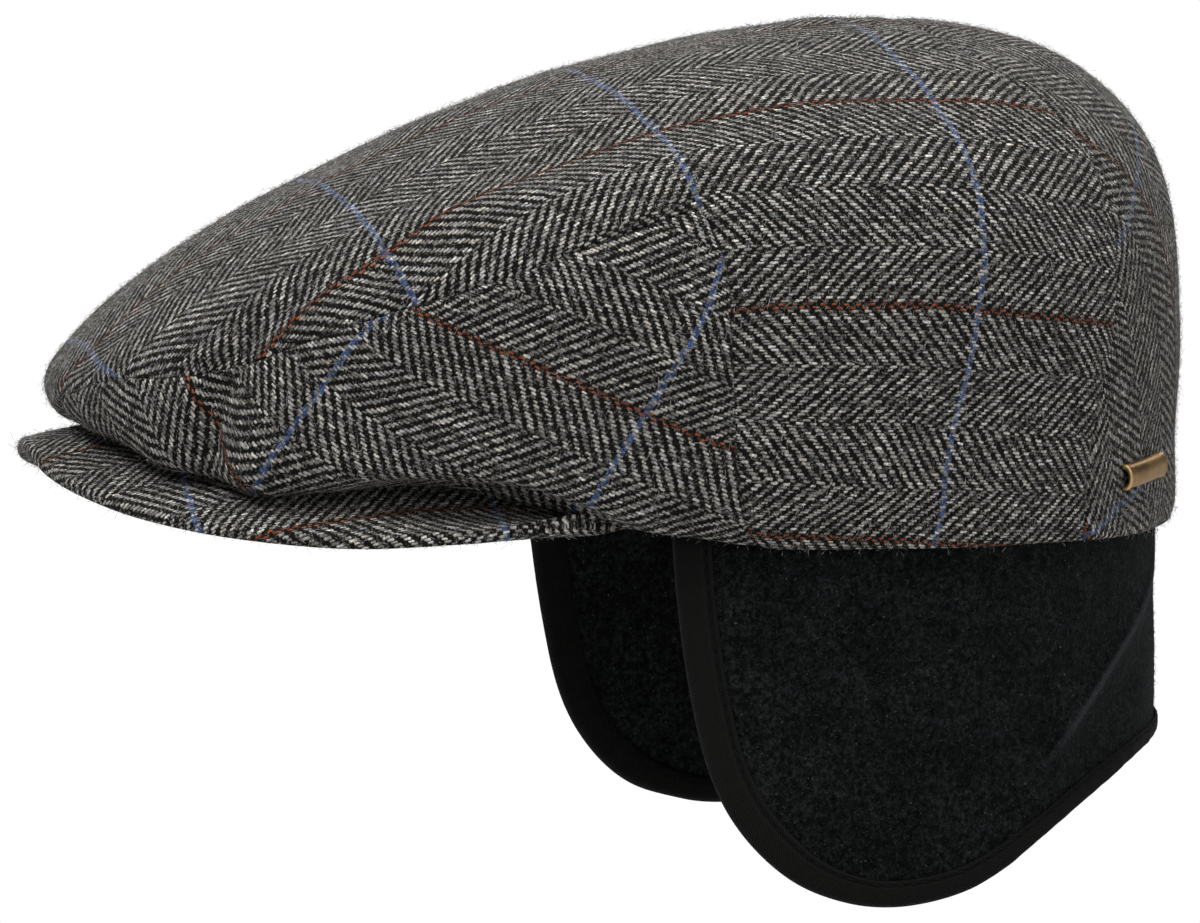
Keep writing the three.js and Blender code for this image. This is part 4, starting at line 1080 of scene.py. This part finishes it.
# folds of the flaps: (along, z) down the fold, width, height at its two ends
BAND_FOLDS = [
    (1, [(32.0, -3.0), (38.2, -7.7), (50.0, -15.5), (61.7, -23.5), (73.8, -33.2), (84.3, -43.0)], 1.9, 1.15, 0.9),
    (1, [(36.0, -4.0), (50.0, -15.5), (61.7, -23.5), (73.8, -33.2), (84.3, -43.0), (90.0, -52.0)], 6.0, 0.3, 1.0),
    (1, [(30.0, -10.0), (46.0, -24.0), (60.0, -36.0), (72.0, -46.0)], 6.0, -0.9, -1.2),
    (1, [(118.0, -4.0), (122.0, -30.0)], 16.0, -0.9, 0.2),
    (1, [(148.0, -10.0), (146.0, -45.0)], 14.0, 0.5, 0.6),
    (-1, [(40.0, -4.0), (58.0, -20.0), (80.0, -40.0)], 6.0, 0.3, 0.9),
    (-1, [(34.0, -10.0), (52.0, -28.0), (70.0, -46.0)], 8.0, -0.4, -0.9),
    (-1, [(124.0, -6.0), (130.0, -40.0)], 15.0, -0.8, -0.3),
]


def band_at(along, z, off):
    a = np.abs(along)
    # the far flap hangs a little further back, and its front corner lower
    a = a - np.where(along < 0, 1.5 * smooth(125, 160, a), 0)
    sign = np.where(along < 0, -1.0, 1.0)
    px, py = np.interp(a, PLAN_S, PLAN[:, 0]), np.interp(a, PLAN_S, PLAN[:, 1])
    nx, ny = np.interp(a, PLAN_S, _n[:, 0]), np.interp(a, PLAN_S, _n[:, 1])
    low = np.maximum(0, -z)
    flap = smooth(40, 90, a)
    wave = np.zeros(np.shape(a * z))
    P2 = np.stack(np.broadcast_arrays(along, z), -1)
    for side, path, width, h0, h1 in BAND_FOLDS:
        r, t = from_path(P2, np.array(path, float) * [side, 1])
        wave = wave + (h0 + (h1 - h0) * t) * np.exp(-(r / width) ** 2)
    wave = wave + 0.35 * np.sin(along * 0.071 + z * 0.05 + 0.8) + 0.2 * np.sin(along * 0.13 - z * 0.09)
    wave = wave * smooth(0, 14, low)
    k = off - BAND_LEAN * low * flap - 0.012 * low * (1 - flap) + wave
    z = np.where(along < 0, z - 2.3 * smooth(5, 50, low) * smooth(133, 156, a), z)
    return np.stack([sign * (px + nx * k), py + ny * k, z + 0 * px], -1)


def make_band():
    cols, rows = 330, 70
    s = np.linspace(-1, 1, cols + 1)
    ed = edge_curve(np.abs(s))
    sign = np.where(s < 0, -1, 1)
    top = ed[:, 0] - 0.5 * smooth(0.8, 1, np.abs(s))
    v = spread(rows, 0.4, 0.6)[:, None]
    z = BAND_TOP + (ed[None, :, 1] - BAND_TOP) * v
    al = sign[None] * (top[None] + (ed[None, :, 0] - top[None]) * v)
    e = (1 - v) * (BAND_TOP - ed[None, :, 1])
    r = FLEECE / 2
    half = np.sqrt(np.maximum(r * r - np.clip(r - e, 0, None) ** 2, 0.09))
    half = half * (1 - 0.34 * smooth(1.0, 6.5, z) * smooth(160, 166, np.abs(al)))
    pile = 0.10 * np.sin(al * 1.9 + 2 * np.sin(z * 0.8)) * np.sin(z * 2.3 + 1.5 * np.sin(al * 0.7))
    face, back = band_at(al, z, half + pile * 0.8), band_at(al, z, -half - pile * 0.5)
    cells = np.ones((rows, cols), bool)
    V, faces, keep = sheet_solid(face, back, cells)
    uv = np.stack([al, z], -1).reshape(-1, 2)
    ob = add_mesh("earflap_fleece", V, faces, np.concatenate([uv, uv]), FLEECY)
    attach(ob, "root"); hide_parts("earflap_band")
    N = unit(np.cross(np.gradient(face, axis=1), np.gradient(face, axis=0)))
    if (N[20, 60] * (face[20, 60] - [0, 0, face[20, 60, 2]])).sum() < 0:
        N = -N
    return ob, face, back, N, cells


band_piece, band_face, band_back, band_N, band_cells = make_band()


# ---------------------------------------------------------------- binding
def edge_frames(count, end=0.998):
    """Stations along the band's free edge: place, and the way out of the cloth."""
    s = np.linspace(-end, end, 4001)
    c, c0, c1 = (edge_curve(np.abs(s) + d) for d in (0, -0.003, 0.003))
    d = unit(c1 - c0)
    sign = np.where(s < 0, -1, 1)
    out = np.stack([d[:, 1], -d[:, 0]], 1)
    out[np.abs(s) < 0.008] = [0, -1]
    al, z = sign * c[:, 0], c[:, 1]
    outA, outZ = sign * out[:, 0], out[:, 1]
    # and on up the sides of the cloth, behind the hem
    up = np.linspace(0.3, 6.2, 20)
    al = np.concatenate([al[0] - 0.02 * up[::-1], al, al[-1] + 0.02 * up])
    z = np.concatenate([z[0] + up[::-1], z, z[-1] + up])
    outA = np.concatenate([np.full(20, -1.0), outA, np.full(20, 1.0)])
    outZ = np.concatenate([np.zeros(20), outZ, np.zeros(20)])
    L = np.concatenate([[0], np.cumsum(np.hypot(np.diff(al), np.diff(z)))])
    x = np.linspace(0, L[-1], count + 1)
    cols = [np.interp(x, L, k) for k in (al, z, outA, outZ)]
    return x, *cols


def tape_point(al, z, oa, oz, off, past):
    """Point of the tape; it is widest up the front of a flap and narrow at the nape."""
    a = np.abs(al)
    w = 3.3 + 1.5 * smooth(40, 110, a) + 2.0 * smooth(128, 160, a)
    past = np.where(past < -0.6, -0.6 + (past + 0.6) * (w - 0.6) / (TAPE_WIDTH - 0.6), past)
    return band_at(al + oa * past, z + oz * past, off * (1 - 0.36 * smooth(2.0, 7.0, z)))


def make_tape():
    x, al, z, oa, oz = edge_frames(760)
    t = TAPE_THICK
    h = FLEECE / 2 + GAP + 0.1
    # outside of the U from the outer lip round the edge to the inner lip, then back
    sec = []
    for past in np.linspace(-TAPE_WIDTH, -0.6, 9):
        puff = 0.16 * np.sin(PI * (past + TAPE_WIDTH) / TAPE_WIDTH) - 0.32 * np.exp(-((past + TAPE_WIDTH - 1.3) / 0.42) ** 2)
        lip = 0.35 * np.exp(-((past + TAPE_WIDTH) / 0.25) ** 2)
        sec.append((h + t * 0.62 + puff - lip, past))
    for g in np.linspace(0.15, PI - 0.15, 9):
        sec.append(((h + t * 0.62) * math.cos(g), -0.45 + (0.85 + t) * math.sin(g)))
    for past in np.linspace(-0.6, -TAPE_WIDTH, 9):
        puff = 0.16 * np.sin(PI * (past + TAPE_WIDTH) / TAPE_WIDTH) - 0.32 * np.exp(-((past + TAPE_WIDTH - 1.3) / 0.42) ** 2)
        lip = 0.35 * np.exp(-((past + TAPE_WIDTH) / 0.25) ** 2)
        sec.append((-(h + t * 0.62 + puff - lip), past))
    outer = np.array(sec)
    inner = [(-(h + 0.02), -TAPE_WIDTH), (-(h + 0.02), -3.0), (-(h + 0.02), 0.05), (-h * 0.5, 0.42), (h * 0.5, 0.42),
             (h + 0.02, 0.05), (h + 0.02, -3.0), (h + 0.02, -TAPE_WIDTH)]
    sec = np.vstack([outer, inner])
    m, n = len(sec), len(x)
    slack = 1 + 0.05 * np.sin(x * 0.9) * np.sin(x * 0.23)
    pts = np.stack([tape_point(al, z, oa, oz, off * (slack if k < len(outer) else 1), past) for k, (off, past) in enumerate(sec)], 1)
    arc = np.concatenate([[0], np.cumsum(np.linalg.norm(np.diff(sec, axis=0), axis=1))])
    uv = np.stack([np.repeat(x[:, None], m, 1), np.repeat(arc[None], n, 0)], -1)
    idx = np.arange(n * m).reshape(n, m)
    nx = np.roll(idx, -1, axis=1)
    faces = [np.stack([idx[:-1], nx[:-1], nx[1:], idx[1:]], -1).reshape(-1, 4)]
    o = len(outer)
    caps = []
    for row, turn in ((0, 1), (n - 1, -1)):
        # join outer and inner chains of the U with a strip
        a, b, tri = 0, m - 1, []
        while a < o - 1 or b > o:
            if b > o and (a >= o - 1 or (a + 1) / (o - 1) > (m - b) / (m - 1 - o)):
                tri.append((a, b, b - 1)); b -= 1
            else:
                tri.append((a, b, a + 1)); a += 1
        tri = np.array(tri)[:, ::turn]
        caps.append(idx[row][tri])
    faces += caps
    V = pts.reshape(-1, 3)
    # walk both windings of the side walls until the ends agree with them
    def closed(fs):
        count = {}
        for f in fs:
            for r in np.asarray(f).tolist():
                for p, q in zip(r, r[1:] + r[:1]):
                    count[(p, q)] = count.get((p, q), 0) + 1
        return sum(1 for (p, q) in count if (q, p) not in count)
    if closed(faces) > 0:
        faces = [faces[0]] + [f[:, ::-1] for f in faces[1:]]
    if volume(V, faces) < 0:
        faces = [f[:, ::-1] for f in faces]
    ob = add_mesh("flap_binding_tape", V, faces, uv.reshape(-1, 2), TAPE)
    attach(ob, "root"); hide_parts("flap_binding")
    return ob


tape_piece = make_tape()


def beads(name, starts, ends, lift, radius, material, sides=6):
    """Short rounded stitches joined in one mesh, from starts to ends, arched up."""
    starts, ends, lift = map(np.asarray, (starts, ends, lift))
    d = ends - starts
    L = np.linalg.norm(d, axis=1, keepdims=True)
    d = d / L
    up = unit(lift - d * (lift * d).sum(1, keepdims=True))
    across = np.cross(d, up)
    ts = np.array([0.0, 0.08, 0.25, 0.5, 0.75, 0.92, 1.0])
    rs = np.array([0.25, 0.70, 0.95, 1.0, 0.95, 0.70, 0.25])
    rings = []
    for t, r in zip(ts, rs):
        c = starts + d * L * t + up * (radius * 1.1 * (4 * t * (1 - t)) - radius * 0.3)
        for k in range(sides):
            g = 2 * PI * k / sides
            rings.append(c + (across * math.cos(g) + up * math.sin(g)) * radius * r)
    A = np.array(rings).reshape(len(ts), sides, -1, 3).transpose(2, 0, 1, 3)
    n = len(starts)
    V = A.reshape(-1, 3)
    base = np.arange(len(ts) * sides).reshape(len(ts), sides)
    nx = np.roll(base, -1, 1)
    quad = np.stack([base[:-1], nx[:-1], nx[1:], base[1:]], -1).reshape(-1, 4)
    tri = [[base[0][0], base[0][k + 1], base[0][k]] for k in range(1, sides - 1)]
    tri += [[base[-1][0], base[-1][k], base[-1][k + 1]] for k in range(1, sides - 1)]
    tri = np.array(tri)
    shift = (np.arange(n) * len(ts) * sides)[:, None, None]
    faces = [(quad[None] + shift).reshape(-1, 4), (tri[None] + shift).reshape(-1, 3)]
    if volume(V, faces) < 0:
        faces = [f[:, ::-1] for f in faces]
    ob = add_mesh(name, V, faces, None, material)
    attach(ob, "root")
    return ob


def tape_stitches():
    x, al, z, oa, oz = edge_frames(3000)
    A, B, up = [], [], []
    pitch, run = 3.1, 2.3
    for side in (1, -1):
        off = side * (FLEECE / 2 + GAP + 0.1 + TAPE_THICK * 0.62 - 0.16)
        for x0 in np.arange(2.0, x[-1] - 4.0, pitch):
            pts = []
            for xx in (x0, x0 + run):
                w = [np.interp(xx, x, k) for k in (al, z, oa, oz)]
                pts.append(tape_point(*w, off, -TAPE_WIDTH + 1.3))
            w = [np.interp(x0 + run / 2, x, k) for k in (al, z, oa, oz)]
            n = tape_point(*w, off + side * 0.5, -TAPE_WIDTH + 1.3) - tape_point(*w, off, -TAPE_WIDTH + 1.3)
            A.append(pts[0]); B.append(pts[1]); up.append(n)
    return beads("binding_stitches", A, B, up, 0.17, STITCH)


stitch_piece = tape_stitches()


# ---------------------------------------------------------------- pin
def make_pin():
    a, b = disc(45.4, 0.190), disc(29.6, 0.198)
    mid = (a + b) / 2
    centre, normal = crown_disc(mid), crown_normal(mid)
    along = crown_disc(b) - crown_disc(a)
    along = unit(along - normal * (along @ normal))
    across = np.cross(normal, along)
    centre = centre + normal * relief(centre, mid)

    def place(u, w, h):
        bend = -0.5 * u * u / 96
        return centre + along * u + across * w + normal * (GAP * 0.4 + h + bend)
    half, n, m = PIN_LENGTH / 2, 40, 30
    g = np.linspace(0, PI, m + 1)

    def arch(k, rise=1.0):
        return np.cos(g) * PIN_WIDTH / 2 * k, np.sin(g) ** 0.8 * PIN_HEIGHT * k * rise
    # outer skin end to end with a rolled rim, then the hollow inside face back again
    stations = []
    for t in np.linspace(0, 1, n + 1):
        u = -half + 2 * half * t
        d = half - abs(u)
        lip = 0.10 * math.exp(-((d - 0.45) / 0.28) ** 2)
        stations.append((u, 1.0 - 0.06 * math.exp(-(d / 0.18) ** 2) + lip))
    rings = []
    for u, k in stations:
        w, h = arch(k)
        rings.append(np.array([place(u, ww, hh) for ww, hh in zip(w, h)]))
    for u, k in reversed(stations):
        w, h = arch(k - 0.20)
        rings.append(np.array([place(u * 0.995, ww, max(hh - 0.12, 0.0)) for ww, hh in zip(w, h)]))
    G = np.array(rings)
    R, C = G.shape[:2]
    idx = np.arange(R * C).reshape(R, C)
    a, b = idx, np.roll(idx, -1, axis=0)
    faces = [np.stack([a[:, :-1], a[:, 1:], b[:, 1:], b[:, :-1]], -1).reshape(-1, 4)]
    half_r = R // 2
    for col, turn in ((0, 1), (C - 1, -1)):                  # the two long edges
        strip = [[idx[j, col], idx[j + 1, col], idx[R - 2 - j, col], idx[R - 1 - j, col]] for j in range(half_r - 1)]
        faces.append(np.array(strip)[:, ::turn])
    V = G.reshape(-1, 3)
    count = {}
    for f in faces:
        for r in f.tolist():
            for p, q in zip(r, r[1:] + r[:1]):
                count[(p, q)] = count.get((p, q), 0) + 1
    if any(c > 1 for c in count.values()):
        faces = [faces[0]] + [f[:, ::-1] for f in faces[1:]]
    if volume(V, faces) < 0:
        faces = [f[:, ::-1] for f in faces]
    ob = add_mesh("pin_bar_brass", V, faces, None, BRASS)
    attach(ob, "root"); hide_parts("pin_bar")
    return ob


pin_piece = make_pin()


# ---------------------------------------------------------------- loose fibres
def fibres(name, sources, count, material, length=(0.6, 2.1), stand=(0.2, 1.1), thick=(0.030, 0.050), short=True):
    P, N, T = [], [], []
    weight = []
    for face, nor, cells in sources:
        j, i = np.nonzero(cells)
        area = np.linalg.norm(np.cross(face[j + 1, i] - face[j, i], face[j, i + 1] - face[j, i]), axis=1)
        weight.append((area, j, i, face, nor))
    total = sum(w[0].sum() for w in weight)
    for area, j, i, face, nor in weight:
        k = rng.choice(len(j), int(round(count * area.sum() / total)), p=area / area.sum())
        a, b = rng.random(len(k)), rng.random(len(k))
        jj, ii = j[k], i[k]
        w = [(1 - a) * (1 - b), (1 - a) * b, a * (1 - b), a * b]
        corner = [(jj, ii), (jj, ii + 1), (jj + 1, ii), (jj + 1, ii + 1)]
        P.append(sum(ww[:, None] * face[c] for ww, c in zip(w, corner)))
        N.append(unit(sum(ww[:, None] * nor[c] for ww, c in zip(w, corner))))
    P, N = np.concatenate(P), np.concatenate(N)
    n = len(P)
    r = rng.normal(size=(n, 3))
    side = unit(r - N * (r * N).sum(1, keepdims=True))
    other = np.cross(N, side)
    L = rng.uniform(*length, n)[:, None] * rng.choice([0.7, 1.0, 1.5], n, p=[0.5, 0.38, 0.12])[:, None]
    up = (rng.uniform(0, 1, n) ** 2 * (stand[1] - stand[0]) + stand[0])[:, None]
    curl = rng.uniform(-0.7, 0.7, n)[:, None]
    d0 = unit(side + N * up)
    c = [P - N * 0.06, P + d0 * L * 0.38 + other * curl * L * 0.08,
         P + d0 * L * 0.72 + other * curl * L * 0.26 - N * up * L * 0.06, P + d0 * L + other * curl * L * 0.5 - N * up * L * 0.18]
    rad = rng.uniform(*thick, n)[:, None]
    if short:
        c = [c[0], c[2], c[3]]
    A = [c[0]]
    for m in range(1, len(c) - 1):
        t = unit(c[m + 1] - c[m - 1])
        x = unit(np.cross(t, N + 0.01))
        y = np.cross(t, x)
        for k in range(3):
            g = 2 * PI * k / 3
            A.append(c[m] + (x * math.cos(g) + y * math.sin(g)) * rad)
    A.append(c[-1])
    V = np.stack(A, 1).reshape(-1, 3)
    tri = [[0, 2, 1], [0, 3, 2], [0, 1, 3]]
    if not short:
        tri += [[1, 2, 5], [1, 5, 4], [2, 3, 6], [2, 6, 5], [3, 1, 4], [3, 4, 6]]
    o = len(A) - 4
    tri = np.array(tri + [[o, o + 1, o + 3], [o + 1, o + 2, o + 3], [o + 2, o, o + 3]])
    faces = [(tri[None] + (np.arange(n) * len(A))[:, None, None]).reshape(-1, 3)]
    if volume(V, faces) < 0:
        faces = [f[:, ::-1] for f in faces]
    ob = add_mesh(name, V, faces, None, material)
    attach(ob, "root")
    return ob


tops = [(f, n, c) for name, f, n, c in fuzz_from if name == "crown_top_cloth"]
rest = [(f, n, c) for name, f, n, c in fuzz_from if name != "crown_top_cloth"]
fibres("wool_fibres_top", tops, 33000, FIBRE)
fibres("wool_fibres_panels", rest, 33000, FIBRE)
fibres("wool_fibres_long", tops + rest, 7500, FIBRE, length=(1.8, 3.6), stand=(0.04, 0.5),
       thick=(0.026, 0.042), short=False)
lint = fibres("fleece_fibres_outer", [(band_face[8:], band_N[8:], band_cells[8:])], 15000, LINT,
              length=(0.4, 1.3), stand=(0.3, 1.5))

# ---------------------------------------------------------------- stage
def stage_material():
    s = Nodes("studio_paper")
    pos = s.node("ShaderNodeTexCoord", out=3)
    colour = s.mix(s.noise(pos, 6.0), (0.78, 0.78, 0.775), (0.81, 0.81, 0.81))
    return s.finish(Base_Color=colour, Roughness=0.9, Specular_IOR_Level=0.1)


FLOOR_Z = -0.45
ring = np.linspace(0, 2 * PI, 129)[:-1]
me = bpy.data.meshes.new("studio_floor")
me.from_pydata([(0, 0, FLOOR_Z)] + [(1.9 * math.cos(g), 1.9 * math.sin(g), FLOOR_Z) for g in ring], [],
               [(0, k + 1, (k + 1) % 128 + 1) for k in range(128)])
floor = bpy.data.objects.new("studio_floor", me)
bpy.context.scene.collection.objects.link(floor)
me.materials.append(stage_material())

world = bpy.data.worlds.new("studio")
bpy.context.scene.world = world
world.use_nodes = True
wt = world.node_tree
bg = wt.nodes["Background"]
co = wt.nodes.new("ShaderNodeTexCoord")
sep = wt.nodes.new("ShaderNodeSeparateXYZ")
wt.links.new(co.outputs["Generated"], sep.inputs[0])
up = wt.nodes.new("ShaderNodeMapRange")
up.interpolation_type = "SMOOTHSTEP"
wt.links.new(sep.outputs[2], up.inputs[0])
for k, v in zip((1, 2, 4), (0.0, 0.09, 0.10)):
    up.inputs[k].default_value = v
toward = wt.nodes.new("ShaderNodeVectorMath")
toward.operation = "DOT_PRODUCT"
toward.inputs[1].default_value = (-0.97259, 0.21562, 0.0)
wt.links.new(co.outputs["Generated"], toward.inputs[0])
wall = wt.nodes.new("ShaderNodeMapRange")
wall.interpolation_type = "SMOOTHSTEP"
for k, v in zip((1, 2, 3, 4), (0.88, 0.965, 0.58, 1.03)):
    wall.inputs[k].default_value = v
wt.links.new(toward.outputs["Value"], wall.inputs[0])
wt.links.new(wall.outputs[0], up.inputs[3])
wt.links.new(up.outputs[0], bg.inputs["Strength"])
bg.inputs["Color"].default_value = (1, 1, 1, 1)


def softbox(name, place, aim, size, power, colour=(1, 1, 1)):
    light = bpy.data.lights.new(name, "AREA")
    light.shape = "RECTANGLE"
    light.size, light.size_y = size
    light.energy = power
    light.color = colour
    ob = bpy.data.objects.new(name, light)
    bpy.context.scene.collection.objects.link(ob)
    ob.location = place
    ob.rotation_euler = (Vector(aim) - Vector(place)).to_track_quat("-Z", "Y").to_euler()
    return ob


softbox("key", (0.55, -0.95, 1.45), (0, -0.02, 0.05), (0.8, 0.7), 26.5)
softbox("overhead", (0.30, 0.15, 1.55), (0, 0, 0.05), (1.0, 1.0), 15)
softbox("fill", (1.50, 0.55, 0.75), (0, 0, 0.02), (0.8, 0.8), 9)
softbox("back", (-0.9, 0.9, 1.1), (0, 0, 0.08), (0.7, 0.7), 5)

# ---------------------------------------------------------------- camera
right = Vector((0.21644, 0.97630, 0.0)).normalized()
ahead = Vector((-0.97259, 0.21562, -0.08716)).normalized()
above = right.cross(ahead).normalized()
cam = bpy.data.cameras.new("camera")
cam.sensor_fit = "HORIZONTAL"
cam.sensor_width = 36.0
cam.lens = 5804.5 / 1200 * 36
cam.clip_start, cam.clip_end = 0.05, 50
eye = bpy.data.objects.new("camera", cam)
bpy.context.scene.collection.objects.link(eye)
eye.matrix_world = Matrix((
    (right.x, above.x, -ahead.x, 0), (right.y, above.y, -ahead.y, 0), (right.z, above.z, -ahead.z, 0), (0, 0, 0, 1)))
origin_px = Vector((708, 525))
reach = 1.300
eye.location = -ahead * reach - right * (origin_px.x - 600) * reach / 5804.5 + above * (origin_px.y - 461.5) * reach / 5804.5
bpy.context.scene.camera = eye
bpy.context.scene.view_settings.view_transform = "Standard"
bpy.context.scene.view_settings.look = "None"
